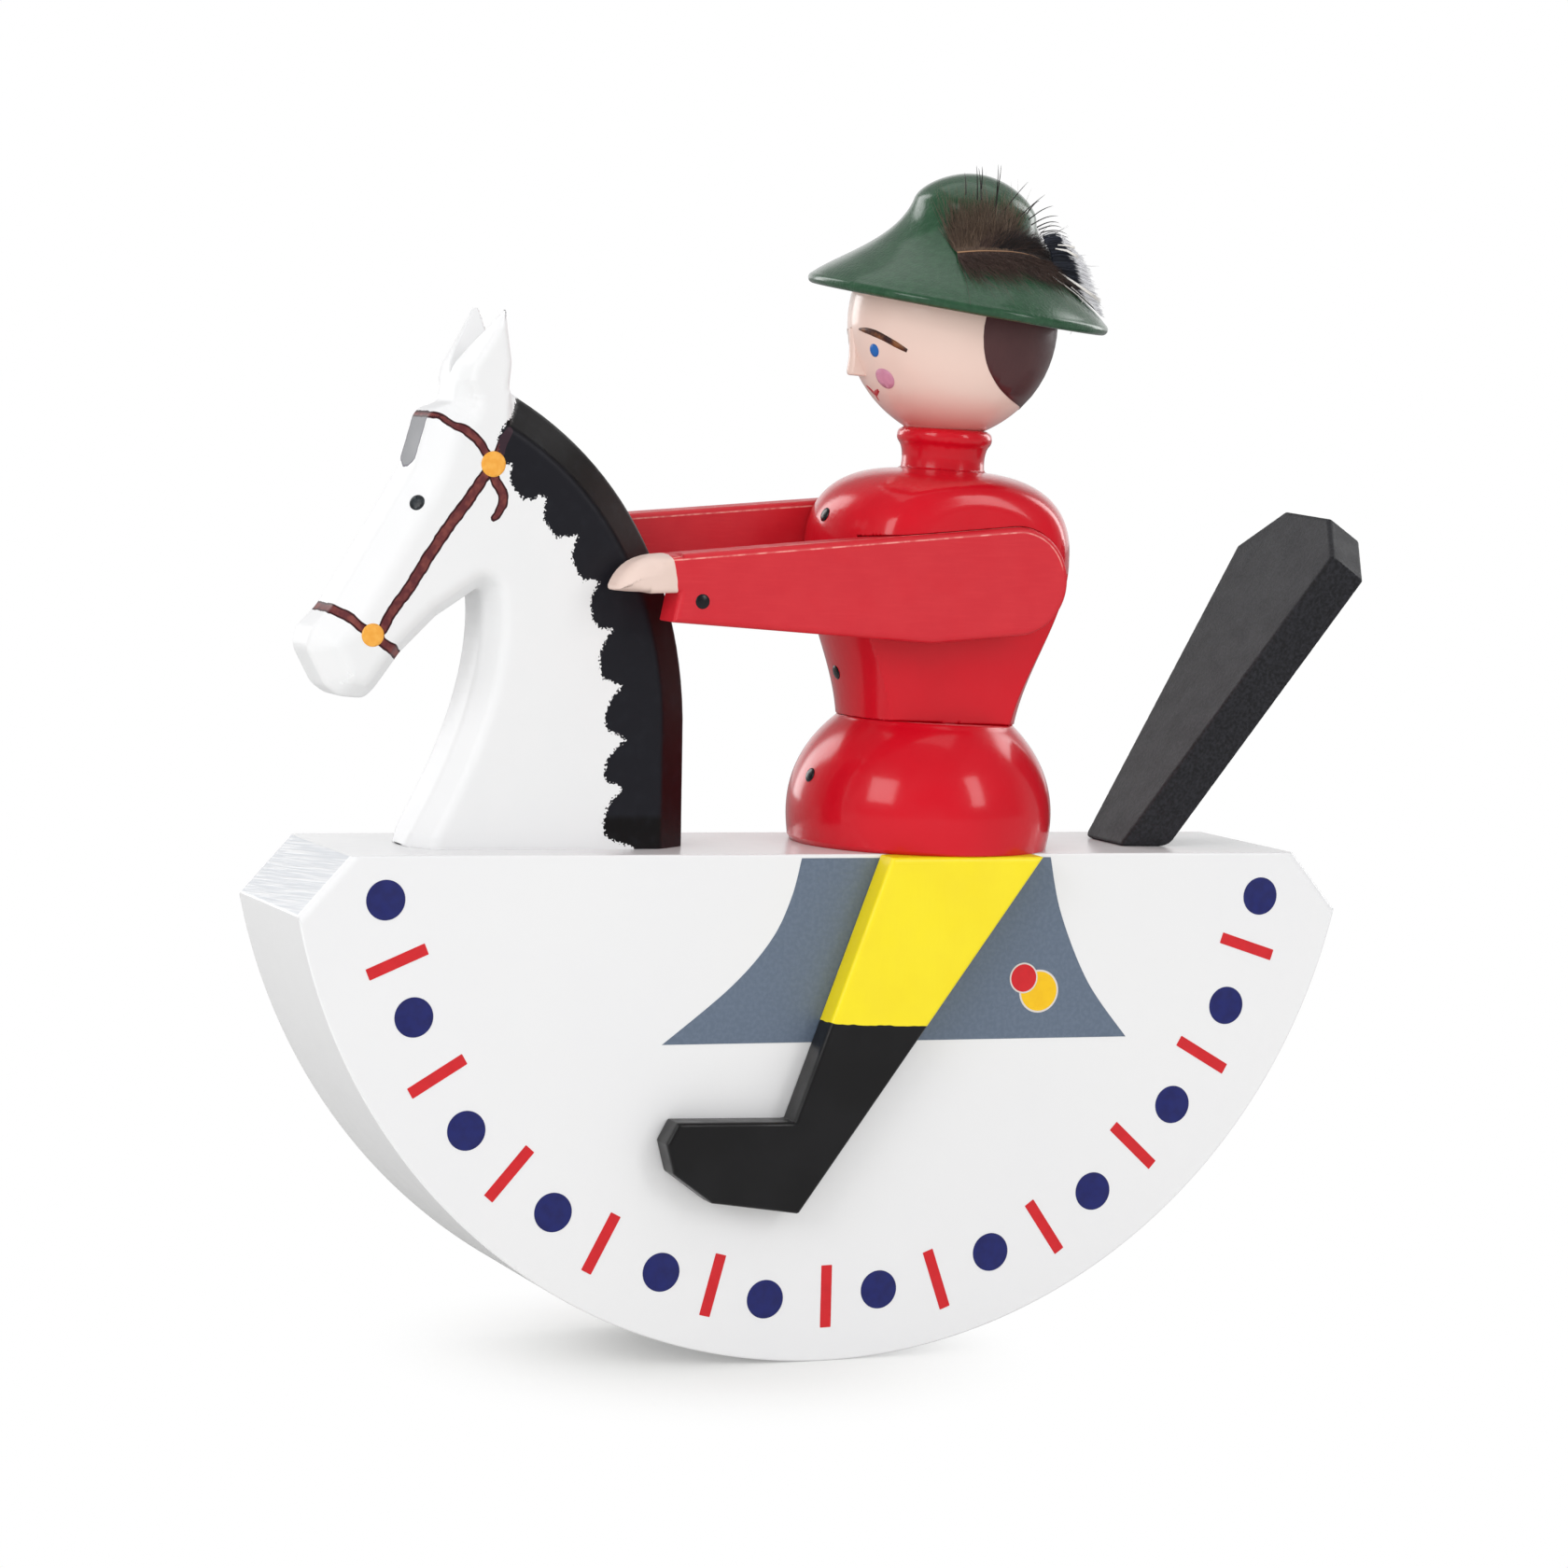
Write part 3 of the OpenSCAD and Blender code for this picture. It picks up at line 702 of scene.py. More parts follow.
@dataclass(frozen=True)
class Finish:
    """A surface finish. Its colours are sRGB, and its pattern sizes are millimetres.

    With edge_colour it takes that colour where the mesh's "edge" attribute is 1, as wear, or with edge_line too, where
    that attribute is edge_line millimetres below 0. On the arm that line is partly wear and partly a painted highlight.
    """

    name: str
    colour: str
    second: str
    roughness: float = 0.35
    ior: float = 1.5
    coat: float = 0.0
    coat_roughness: float = 0.08
    grain_axis: str = "X"
    grain: float = 0.0
    grain_width: float = 0.5
    mottle: float = 0.5
    mottle_size: float = 9.0
    peel: float = 0.3
    peel_size: float = 1.2
    wave: float = 0.4
    edge_colour: str = ""
    edge_line: float = 0.0
    tilt: float = 0.0
    uneven: float = 0.15

    def grain_lines(self, tree: Tree, at: Socket) -> Socket:
        """Wood grain: a pattern drawn out fourteen times along the grain's axis."""
        scale = [1 / self.grain_width * (1 / 14 if a == self.grain_axis else 1) for a in "XYZ"]
        return streaks(tree, at, (0, self.tilt, 0), scale, {"Detail": 4, "Roughness": 0.65})

    def base_colour(self, tree: Tree, at: Socket) -> Socket:
        """The colour, with clouds of the second colour, grain lines and paler or darker edges."""
        second = linear(self.second)
        share = clouds(tree, at, self.mottle_size, (*PATCHES, 0, self.mottle))
        colour = blend(tree, share, linear(self.colour), second)
        colour = blend(tree, ranged(tree, self.grain_lines(tree, at), 0.45, 0.75, 0, self.grain), colour, second)
        if self.edge_colour:
            edge = stored(tree, "edge")
            if self.edge_line:
                away = maths(tree, "ABSOLUTE", maths(tree, "ADD", edge, self.edge_line))
                edge = ranged(tree, away, 0.16, 0.05)
            wear_and_highlight = maths(tree, "MULTIPLY", edge, clouds(tree, at, 1.5, (0.35, 0.65, 0.2, 0.9)))
            colour = blend(tree, wear_and_highlight, colour, linear(self.edge_colour))
        return colour

    def relief(self, tree: Tree, at: Socket) -> Socket:
        """The surface's relief: long waves, grain that shows through, and the lacquer's fine peel."""
        layers = (
            (noise(tree, at, 7.0, 1), 0.06 * self.wave),
            (self.grain_lines(tree, at), 0.04 * self.grain),
            (noise(tree, at, self.peel_size, 2), 0.03 * self.peel),
        )
        below: dict = {}
        for height, depth in layers:
            bump = add(tree, "ShaderNodeBump", {"Height": height, "Distance": depth * MM, "Strength": 1.0, **below})
            below = {"Normal": bump.outputs[0]}
        return below["Normal"]

    def build(self) -> bpy.types.Material:
        """Makes the material, in millimetres of the object's own coordinates and a little uneven in its gloss."""
        made = bpy.data.materials.new(self.name)
        made.diffuse_color = linear(self.colour)
        tree = cleared(made)
        place = add(tree, "ShaderNodeTexCoord").outputs["Object"]
        at = add(tree, "ShaderNodeMapping", {"Vector": place, "Scale": (1 / MM,) * 3}).outputs[0]
        low, high = (self.roughness * (1 + share) for share in (-self.uneven, self.uneven))
        inputs = {
            "Base Color": self.base_colour(tree, at),
            "Roughness": clouds(tree, at, 4.0, (*EVEN, low, high)),
            "IOR": self.ior,
            "Coat Weight": self.coat,
            "Coat Roughness": self.coat_roughness,
            "Normal": self.relief(tree, at),
        }
        shader = add(tree, "ShaderNodeBsdfPrincipled", inputs)
        add(tree, "ShaderNodeOutputMaterial", {"Surface": shader.outputs[0]})
        return made


@dataclass(frozen=True)
class Lacquer(Finish):
    """White lacquer that shows saw marks across the grain where the "saw" attribute is 1."""

    saw_colour: str = "d2d5da"

    def saw_lines(self, tree: Tree, at: Socket) -> Socket:
        """Saw marks, drawn out along Y and a little uphill."""
        lines = streaks(tree, at, (0, 48, -6), (2.8, 0.08, 2.8), {"Detail": 3})
        return maths(tree, "MULTIPLY", ranged(tree, lines, 0.25, 0.65), stored(tree, "saw"))

    def base_colour(self, tree: Tree, at: Socket) -> Socket:
        """White, greyer in the saw marks."""
        return blend(tree, self.saw_lines(tree, at), super().base_colour(tree, at), linear(self.saw_colour))

    def relief(self, tree: Tree, at: Socket) -> Socket:
        """The lacquer's relief with the saw marks in it."""
        marks = {"Height": self.saw_lines(tree, at), "Distance": 0.02 * MM, "Strength": 1.0}
        return add(tree, "ShaderNodeBump", {**marks, "Normal": super().relief(tree, at)}, invert=True).outputs[0]


@dataclass(frozen=True)
class HorsePaint(Finish):
    """White lacquer with a black mane, a brown bridle and a forelock, painted by hand. The forelock's grey is a painted
    reflection on its black paint, and the mane's back bevel is darkened as painted shade.
    """

    mane: str = "1a1a21"
    # Painted shade: a darker black on the mane's back bevel and ridge, which turn away from the light.
    mane_edge: str = "0d0a0c"
    mane_light: str = "24262d"
    bridle: str = "5f2a2e"
    bridle_light: str = "7d3f3a"
    bridle_rim: str = "3a1419"
    bridle_on_mane: str = "3a2831"
    # The forelock is black paint; this grey is a painted reflection of the bright room in black paint seen at a
    # glancing angle.
    forelock: str = "737478"
    forelock_rim: str = "4c4656"

    def mask(self, tree: Tree, name: str, shift: Socket, inset: float = 0.0) -> Socket:
        """1 where a painted part is deeper than inset, with its edge moved to and fro by shift."""
        return ranged(tree, maths(tree, "ADD", stored(tree, name), shift), inset - 0.04, inset + 0.04)

    def base_colour(self, tree: Tree, at: Socket) -> Socket:
        """White, with each painted part where its attribute is above 0. Fine noise makes a brush's ragged edge."""
        mix = partial(blend, tree)
        ragged = clouds(tree, at, 0.42, (*EVEN, -0.3, 0.3))
        wavy = clouds(tree, at, 1.6, (*EVEN, -0.07, 0.07), 1)
        mane = self.mask(tree, "mane", ragged)
        # The mane's back bevel and ridge take the darker black here: painted shade.
        black = mix(stored(tree, "back"), linear(self.mane), linear(self.mane_edge))
        black = mix(clouds(tree, at, 2.2, (0.45, 0.8, 0, 0.3)), black, linear(self.mane_light))
        brown = mix(clouds(tree, at, 1.3, PATCHES), linear(self.bridle), linear(self.bridle_light))
        brown = mix(self.mask(tree, "bridle", wavy, 0.3), linear(self.bridle_rim), brown)
        brown = mix(mane, brown, linear(self.bridle_on_mane))
        # The forelock's grey with its darker rim; the grey is a painted reflection on black paint.
        forelock_reflection = mix(self.mask(tree, "forelock", wavy, 0.3), linear(self.forelock_rim), linear(self.forelock))
        colour = mix(self.mask(tree, "forelock", wavy), super().base_colour(tree, at), forelock_reflection)
        return mix(self.mask(tree, "bridle", wavy), mix(mane, colour, black), brown)


@dataclass(frozen=True)
class TwoColour(Finish):
    """A lacquer that changes to another colour where the "paint" attribute is above 0."""

    other: str = "1b1b1d"
    other_second: str = "2c2c30"
    wander: float = 0.12

    def base_colour(self, tree: Tree, at: Socket) -> Socket:
        """The first colour, and the other one past a slightly unsteady painted line."""
        unsteady = clouds(tree, at, 2.5, (*EVEN, -self.wander, self.wander), 1)
        past = ranged(tree, maths(tree, "ADD", stored(tree, "paint"), unsteady), -0.03, 0.03)
        share = clouds(tree, at, self.mottle_size, (*PATCHES, 0, 0.6))
        second = blend(tree, share, linear(self.other), linear(self.other_second))
        return blend(tree, past, super().base_colour(tree, at), second)


@dataclass(frozen=True)
class Blush(Finish):
    """Skin lacquer that turns redder towards the bottom."""

    blush: str = "d06a66"

    def base_colour(self, tree: Tree, at: Socket) -> Socket:
        """Skin colour, turning to the redder colour where the "blush" attribute rises to 1."""
        return blend(tree, stored(tree, "blush"), super().base_colour(tree, at), linear(self.blush))


@dataclass(frozen=True)
class Barbs(Finish):
    """A feather's barbs, coloured along each barb by its "along" attribute and by "tone" from barb to barb."""

    tip: str = "5a4438"
    fade: Pair = (0.55, 1.0)

    def base_colour(self, tree: Tree, at: Socket) -> Socket:
        """Root to tip colour, varied from barb to barb."""
        colour = blend(tree, stored(tree, "tone"), linear(self.colour), linear(self.second))
        return blend(tree, ranged(tree, stored(tree, "along"), *self.fade), colour, linear(self.tip))


WHITE = Lacquer(
    # Beech under sprayed white lacquer: a clean satin white, with saw marks on its sawn ends.
    "White lacquer on beech, sprayed", "e9e9ea", "e7e7e9",
    0.24, ior=1.45, mottle_size=40, peel=0.05, wave=0.1, uneven=0.03,
)  # fmt: skip
HORSE = HorsePaint(
    # The same lacquer with brushed paint on it: the mane's edge is ragged from a dry brush.
    # Its white is a little darker than the rocker's white: painted shade that tones down the light falling on the
    # horse.
    "White lacquer with brushed mane and bridle", "e6e6e7", "e3e4e5",
    0.4, ior=1.33, mottle_size=14, peel=0.12, uneven=0.06,
)  # fmt: skip
# Printed enamels: dense, flat colours with a faint cloud.
NAVY = Finish("Navy enamel, printed", "18206a", "161a5c", 0.4, mottle=0.8, mottle_size=1.6, peel=0.2)
DASH_RED = Finish("Red enamel, printed", "d3131f", "c8101c", 0.42, mottle=0.6, mottle_size=1.5)
SLATE = Finish(
    # Printed slate blue: an even, slightly grainy coat.
    "Slate blue enamel, printed", "5f6d80", "69778a",
    0.5, grain=0.1, mottle=0.7, mottle_size=0.7, peel=0.6, peel_size=0.5,
)  # fmt: skip
YELLOW_DOT = Finish("Golden yellow enamel, printed", "f4c202", "eeb802", mottle=0.6, mottle_size=1.4)
ORNAMENT_EDGE = Finish("White line, printed", "d8d2cc", "cfc8c2")
# Brushed drops: a soft shine over uneven paint.
ROSETTE = Finish("Orange yellow enamel, brushed", "eca237", "f2b14a", mottle=0.8, mottle_size=0.8, peel=0.6)
EYE_BLACK = Finish("Black enamel, dotted", "1c1e22", "3d4448", 0.3, mottle=0.8, mottle_size=0.7)
TURNED_RED = Finish(
    # Beech turned on a lathe and dipped in red lacquer: a soft gloss over a deep, saturated red.
    "Red lacquer on turned beech, dipped", "cf0a20", "c4081c",
    0.34, ior=1.25, coat=0.8, coat_roughness=0.13, peel=1.2, peel_size=1.0, mottle_size=14,
)  # fmt: skip
ARM = TwoColour(
    # Red lacquer brushed thin on sawn wood: more matte, with the grain just showing and a pale line on its top edge,
    # which is partly wear and partly a painted highlight.
    "Red lacquer on sawn beech, with skin coloured hand", "cc1426", "d4242f",
    0.46, grain=0.45, grain_width=0.4, mottle=0.35, mottle_size=5, coat=0.05,
    edge_colour="ee9a90", edge_line=0.85, other="dfc6bb", other_second="e4ccc2",
)  # fmt: skip
SKIN = Blush(
    # Flesh coloured lacquer on a turned ball: satin, and redder towards the bottom.
    "Skin lacquer on turned beech, sprayed", "eacdc1", "e6c7bb",
    0.34, coat=0.5, coat_roughness=0.1, mottle=0.4,
)  # fmt: skip
# Paint strokes and dots of the face and hair: thin where the brush lifts, so their tone is uneven.
HAIR = Finish(
    "Brown lacquer, brushed", "4e2c2e", "583434",
    0.36, coat=0.1, grain=0.2, grain_axis="Z", mottle=0.6, peel=0.4,
)  # fmt: skip
BROW = Finish("Brown paint stroke", "3a1d1c", "8a5228", 0.45, mottle=0.95, mottle_size=1.7)
IRIS = Finish("Blue paint dot", "1066b8", "1058a6")
CHEEK = Finish("Pink paint dot", "d28ea8", "c9849f", 0.4, mottle=0.8, mottle_size=1.0)
LIPS = Finish("Red paint stroke", "c42833", "a81e28", 0.4, mottle=0.9, mottle_size=0.6)
GREEN = Finish(
    # Green lacquer on a turned bell: glossy, with a fine pebble from the spray that breaks its highlights up.
    "Green lacquer on turned beech, sprayed", "264b33", "30563c", 0.42, ior=1.25, coat=0.85,
    coat_roughness=0.17, peel=6.0, peel_size=0.5, wave=0.6, mottle=0.8, mottle_size=1.2,
)  # fmt: skip
LEG = TwoColour(
    # Yellow and black lacquer on a sawn board: satin, with a hint of upright grain.
    "Yellow breeches and black boot, brushed", "f7e20c", "f2d90c",
    0.4, grain=0.15, grain_axis="Z", coat=0.1, other="0f0e10", other_second="18171a", peel=0.5,
)  # fmt: skip
STAIN = Finish(
    # Black stain on a sanded board: matt, with pale specks where the grain's pores catch light.
    "Black stain on beech, wiped", "17171b", "2e2e35",
    0.6, ior=1.46, grain=0.5, grain_axis="Z", grain_width=0.35, tilt=-33,
    mottle=0.7, mottle_size=0.5, peel=1.5, peel_size=0.4, edge_colour="08080a", uneven=0.04,
)  # fmt: skip
# Black drops of enamel that stand up and shine, and the bare wood of the dowels.
BUTTON = Finish("Black enamel drop", "161519", "242327", 0.28, mottle_size=1.0)
BEECH = Finish("Beech dowel, turned and left bare", "d8b68a", "c49c6c", 0.6, grain=0.8, grain_axis="Z")
# Feather horn and barbs: dull and soft, each barb fading to its own tip.
FLUFF = Barbs("Brown hackle barbs", "4a382f", "6b5848", 0.75, tip="7d6c5c")
DARK_BARB = Barbs("Dark hackle barbs", "1b1413", "302624", 0.6, tip="2c2428")
VANE = Barbs("Blue black vane barbs with white ends", "181b26", "3b404e", 0.5, tip="f2f2f5", fade=(0.58, 0.7))
BROWN_BARB = Barbs("Dark brown hackle barbs", "35251f", "54403a", 0.75, tip="5e4b42")
SHAFT = Finish("Feather shaft, horn", "f1eeea", "e4ded8", 0.4)
ROOT = Finish("Feather root, horn", "a8805f", "84614a", 0.4)

_materials: dict[str, bpy.types.Material] = {}


def material(finish: Finish) -> bpy.types.Material:
    """The material of a finish, made once."""
    if finish.name not in _materials:
        _materials[finish.name] = finish.build()
    return _materials[finish.name]


def dress(obj: Piece, finish: Finish, replaces: Sequence[str] = (), body: Body = Body.MAIN) -> Piece:
    """Gives a finished piece its material and body, and hides the CAD nodes that it stands for.

    Args:
        obj: the piece.
        finish: its surface.
        replaces: CAD nodes that it stands for.
        body: the CAD body that it moves with.

    Returns:
        The same piece.
    """
    obj.data.materials.clear()
    obj.data.materials.append(material(finish))
    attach(obj, body.value)
    if replaces:
        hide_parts(*replaces)
    log.info("%s: %d faces, rides on %s", obj.name, len(obj.data.polygons), body.value)
    return obj


# --- repeated pieces


def facing(direction: Points) -> tuple[float, float, float]:
    """The Euler turn that points Z along a direction."""
    return tuple(Vector(direction).to_track_quat("Z", "Y").to_euler())


class Repeater:
    """A Geometry Nodes tree with named inputs that draws one repeated shape."""

    def __init__(self, name: str, *numbers: str) -> None:
        """Makes the tree with its geometry, number and material inputs.

        Args:
            name: the tree's name.
            numbers: the names of its number inputs.
        """
        self.tree = bpy.data.node_groups.new(name, "GeometryNodeTree")
        kinds = {"Geometry": "Geometry", **dict.fromkeys(numbers, "Float"), "Material": "Material"}
        sockets = {n: self.socket(n, "INPUT", kind) for n, kind in kinds.items()}
        self.inputs = {n: socket.identifier for n, socket in sockets.items()}
        self.socket("Geometry", "OUTPUT", "Geometry")
        self.given = add(self.tree, "NodeGroupInput").outputs
        self.draw()

    def socket(self, name: str, way: str, kind: str) -> bpy.types.NodeTreeInterfaceSocket:
        """Adds an input or output to the tree."""
        return self.tree.interface.new_socket(name, in_out=way, socket_type=f"NodeSocket{kind}")

    def draw(self) -> None:
        """Adds the nodes that draw the shape."""
        raise NotImplementedError

    def on_points(self, shape: Socket) -> Socket:
        """Sets a shape on each point, turned by the point's "turn"."""
        turn = add(self.tree, "GeometryNodeInputNamedAttribute", {"Name": "turn"}, data_type="FLOAT_VECTOR")
        spin = add(self.tree, "FunctionNodeEulerToRotation", {0: turn.outputs[0]}).outputs[0]
        places = {"Points": self.given["Geometry"], "Instance": shape, "Rotation": spin}
        return add(self.tree, "GeometryNodeInstanceOnPoints", places).outputs[0]

    def close(self, shapes: Socket, smooth: bool = True) -> None:
        """Makes the shapes real, shades them and gives them their material."""
        made = add(self.tree, "GeometryNodeRealizeInstances", {"Geometry": shapes}).outputs[0]
        if smooth:
            made = add(self.tree, "GeometryNodeSetShadeSmooth", {"Geometry": made}).outputs[0]
        painted = {"Geometry": made, "Material": self.given["Material"]}
        made = add(self.tree, "GeometryNodeSetMaterial", painted).outputs[0]
        add(self.tree, "NodeGroupOutput", {"Geometry": made})

    def run(self, obj: Piece, finish: Finish, **numbers: float) -> Piece:
        """Runs the tree on an object and keeps the result as a plain mesh.

        Args:
            obj: the object with the places.
            finish: its surface.
            numbers: the value of each number input.

        Returns:
            The same object.
        """
        modifier = obj.modifiers.new(self.tree.name, "NODES")
        modifier.node_group = self.tree
        for name, value in {**numbers, "Material": material(finish)}.items():
            modifier[self.inputs[name]] = value
        obj.update_tag()
        bpy.context.view_layer.update()
        return plain_mesh(obj)

    def run_on(self, name: str, points: Points, turns: Points, finish: Finish, **numbers: float) -> Piece:
        """Runs the tree on loose points.

        Args:
            name: the piece's name.
            points: the shapes' middles, in millimetres.
            turns: an Euler turn in radians for each.
            finish: their paint.
            numbers: the value of each number input.

        Returns:
            The piece, a plain mesh.
        """
        obj = raw_piece(name, points)
        layer = obj.data.attributes.new("turn", "FLOAT_VECTOR", "POINT")
        layer.data.foreach_set("vector", np.asarray(turns, np.float32).ravel())
        return self.run(obj, finish, **numbers)


class PrintedMarks(Repeater):
    """Prints rounded bars or dots."""

    def draw(self) -> None:
        """Draws a bar with round corners and a film's thickness."""
        t, given = self.tree, self.given
        size = {"Width": given["Length"], "Height": given["Width"]}
        sheet = add(t, "GeometryNodeCurvePrimitiveQuadrilateral", size).outputs[0]
        fillet = add(t, "GeometryNodeFilletCurve", {"Curve": sheet, "Radius": given["Corner"]})
        if "Mode" in fillet.inputs:
            fillet.inputs["Mode"].default_value = "Poly"
        else:
            fillet.mode = "POLY"
        fillet.inputs["Count"].default_value = 12
        fillet.inputs["Limit Radius"].default_value = True
        fill = add(t, "GeometryNodeFillCurve", {"Curve": fillet.outputs[0]}).outputs[0]
        lift = {"Mesh": fill, "Offset Scale": given["Film"], "Individual": False}
        both = add(t, "GeometryNodeJoinGeometry")
        t.links.new(add(t, "GeometryNodeExtrudeMesh", lift).outputs[0], both.inputs[0])
        t.links.new(add(t, "GeometryNodeFlipFaces", {"Mesh": fill}).outputs[0], both.inputs[0])
        joined = add(t, "GeometryNodeMergeByDistance", {"Geometry": both.outputs[0], "Distance": WELD})
        self.close(self.on_points(joined.outputs[0]), smooth=False)


class PaintDrops(Repeater):
    """Sets low domes of paint."""

    def draw(self) -> None:
        """Draws a ball, flattened by its rise."""
        t, given = self.tree, self.given
        radius = maths(t, "MULTIPLY", given["Diameter"], 0.5)
        ball = add(t, "GeometryNodeMeshUVSphere", {"Segments": 32, "Rings": 16, "Radius": radius}).outputs[0]
        flat = add(t, "ShaderNodeCombineXYZ", {0: 1.0, 1: 1.0, 2: given["Rise"]}).outputs[0]
        self.close(self.on_points(add(t, "GeometryNodeTransform", {"Geometry": ball, "Scale": flat}).outputs[0]))


class Strands(Repeater):
    """Gives guide lines a tapered hair's thickness and a slight waver."""

    def draw(self) -> None:
        """Draws a hair along each guide line."""
        t, given = self.tree, self.given
        lines = add(t, "GeometryNodeMeshToCurve", {"Mesh": given["Geometry"]}).outputs[0]
        along = add(t, "GeometryNodeInputNamedAttribute", {"Name": "along"}, data_type="FLOAT").outputs[0]
        place = add(t, "GeometryNodeInputPosition").outputs[0]
        grain = {"Vector": place, "Scale": 420.0, "Detail": 1.0, "W": float(SEED)}
        waves = add(t, "ShaderNodeTexNoise", grain, noise_dimensions="4D").outputs["Color"]
        centred = add(t, "ShaderNodeVectorMath", {0: waves, 1: (0.5, 0.5, 0.5)}, operation="SUBTRACT").outputs[0]
        amount = maths(t, "MULTIPLY", along, given["Waver"])
        offset = add(t, "ShaderNodeVectorMath", {0: centred, "Scale": amount}, operation="SCALE").outputs[0]
        wavy = add(t, "GeometryNodeSetPosition", {"Geometry": lines, "Offset": offset}).outputs[0]
        taper = maths(t, "POWER", maths(t, "SUBTRACT", 1.02, along), given["Taper"])
        radius = maths(t, "MULTIPLY", taper, given["Thickness"])
        sized = add(t, "GeometryNodeSetCurveRadius", {"Curve": wavy, "Radius": radius}).outputs[0]
        section = add(t, "GeometryNodeCurvePrimitiveCircle", {"Resolution": 3, "Radius": 0.5}).outputs[0]
        tube = add(t, "GeometryNodeCurveToMesh", {"Curve": sized, "Profile Curve": section, "Fill Caps": True})
        if "Scale" in tube.inputs:
            t.links.new(radius, tube.inputs["Scale"])
        self.close(tube.outputs[0])

    def make(
        self, name: str, lines: Points, tones: Points, finish: Finish, thickness: float, taper: float, waver: float
    ) -> Piece:
        """Makes strands along guide lines.

        Args:
            name: the piece's name.
            lines: for each strand the points along it, in millimetres.
            tones: for each strand a number from 0 to 1 that shades it.
            finish: its colour.
            thickness: a strand's diameter at its root.
            taper: the power of its taper.
            waver: how far its tip strays.

        Returns:
            The piece, a plain mesh.
        """
        strands, steps = lines.shape[:2]
        edges = [(s * steps + i, s * steps + i + 1) for s in range(strands) for i in range(steps - 1)]
        obj = raw_piece(name, lines.reshape(-1, 3), edges)
        set_attribute(obj, "along", np.tile(np.linspace(0, 1, steps), strands))
        set_attribute(obj, "tone", np.repeat(tones, steps))
        return self.run(obj, finish, Thickness=thickness * MM, Taper=taper, Waver=waver * MM)


# --- rocker


@dataclass
class Rocker:
    """The half round board with its printed border and saddle cloth."""

    radius: float = 90.0
    thickness: float = 32.0
    deck: float = 80.0
    bevel_h: float = 9.0
    bevel_l: float = 8.0
    softness: float = 1.1
    wide_softness: float = 4.2
    dot_d: float = 6.1
    dash: Pair = (9.9, 1.8)
    sunk: float = 0.05
    dots: Rows = (
        (-74.6, 73.4), (-69.6, 55.7), (-60.7, 38.3), (-46.3, 25.3), (-28.2, 15.3), (-10.6, 10.3),
        (8.8, 11.0), (28.1, 16.2), (45.9, 25.4), (59.6, 39.1), (68.6, 55.1), (73.9, 72.9),
    )  # fmt: skip
    dashes: Rows = (
        (-72.5, 64.1, 22.9), (-65.6, 46.7, 31.1), (-53.6, 31.5, 49.2), (-38.3, 20.2, 62.5), (-19.5, 12.9, 75.9),
        (-0.2, 10.3, 91.1), (18.8, 12.2, 110.4), (37.5, 19.9, 125.8), (52.8, 32.6, 138.4), (64.6, 47.1, 150.7),
        (71.9, 64.7, 162.6),
    )  # fmt: skip

    def outline(self) -> Points:
        """The board's XZ outline."""
        z = self.deck - self.bevel_h
        x = math.sqrt(self.radius**2 - (self.radius - z) ** 2)
        end = math.asin(x / self.radius)
        a = np.linspace(-end, end, 181)
        arc = np.stack((self.radius * np.sin(a), self.radius - self.radius * np.cos(a)), 1)
        return np.concatenate([arc, [(x - self.bevel_l, self.deck), (self.bevel_l - x, self.deck)]])

    def body(self) -> None:
        """Builds the lacquered board, with wide rounding along its end bevels."""
        half = self.thickness / 2
        obj = make_object("lacquered_rocker", *board(self.outline(), -half, half))
        weights = obj.data.attributes.new("bevel_weight_edge", "FLOAT", "EDGE")
        low, high = self.deck - self.bevel_h - 0.01, self.deck + 0.01
        p = points_of(obj)
        for edge in obj.data.edges:
            a, b = p[edge.vertices[0]], p[edge.vertices[1]]
            along_face = abs(a[1] - b[1]) < 0.01
            slanted = along_face and abs(a[2] - b[2]) > 8 and min(a[2], b[2]) > low and max(a[2], b[2]) < high
            crosswise = not along_face and a[2] < low
            share = 0.0 if crosswise else self.softness / self.wide_softness
            weights.data[edge.index].value = 1.0 if slanted else share
        bevelled(obj, self.wide_softness, 6, limit_method="WEIGHT")
        p = points_of(obj)
        run = math.hypot(self.bevel_l, self.bevel_h)
        corner = math.sqrt(self.radius**2 - (self.radius - self.deck + self.bevel_h) ** 2)
        rise = (p[:, 2] - self.deck + self.bevel_h) * self.bevel_l / run
        from_bevel = (np.abs(p[:, 0]) - corner) * self.bevel_h / run + rise
        set_attribute(obj, "saw", np.where(np.abs(from_bevel) < 0.02, 1.0, 0.0))
        dress(obj, WHITE, ["rocker"])

    def face(self, side: Side, uv: Points) -> tuple[Points, Points]:
        """Points on one of the board's faces at XZ coordinates, and their outward direction."""
        y = np.full(len(uv), side.value * self.thickness / 2)
        return np.stack((uv[:, 0], y, uv[:, 1]), 1), np.tile((0.0, side.value, 0.0), (len(uv), 1))

    def border(self, marks: PrintedMarks) -> None:
        """Prints the dots and the dashes between them on both faces."""
        dots = np.array([(x, z, 0.0) for x, z in self.dots])
        for name, rows, (length, width), corner, finish in (
            ("border_dots", dots, (self.dot_d, self.dot_d), self.dot_d / 2, NAVY),
            ("border_dashes", np.array(self.dashes), self.dash, 0.12, DASH_RED),
        ):
            size = {"Length": length * MM, "Width": width * MM, "Corner": corner * MM, "Film": 2 * self.sunk * MM}
            for side in Side:
                y = np.full(len(rows), side.value * (self.thickness / 2 - self.sunk))
                upright = np.full(len(rows), -side.value * math.pi / 2)
                turns = np.stack((upright, -np.radians(rows[:, 2]), np.zeros(len(rows))), 1)
                middles = np.stack((rows[:, 0], y, rows[:, 1]), 1)
                obj = marks.run_on(f"{name}_{side.label}", middles, turns, finish, **size)
                dress(obj, finish)

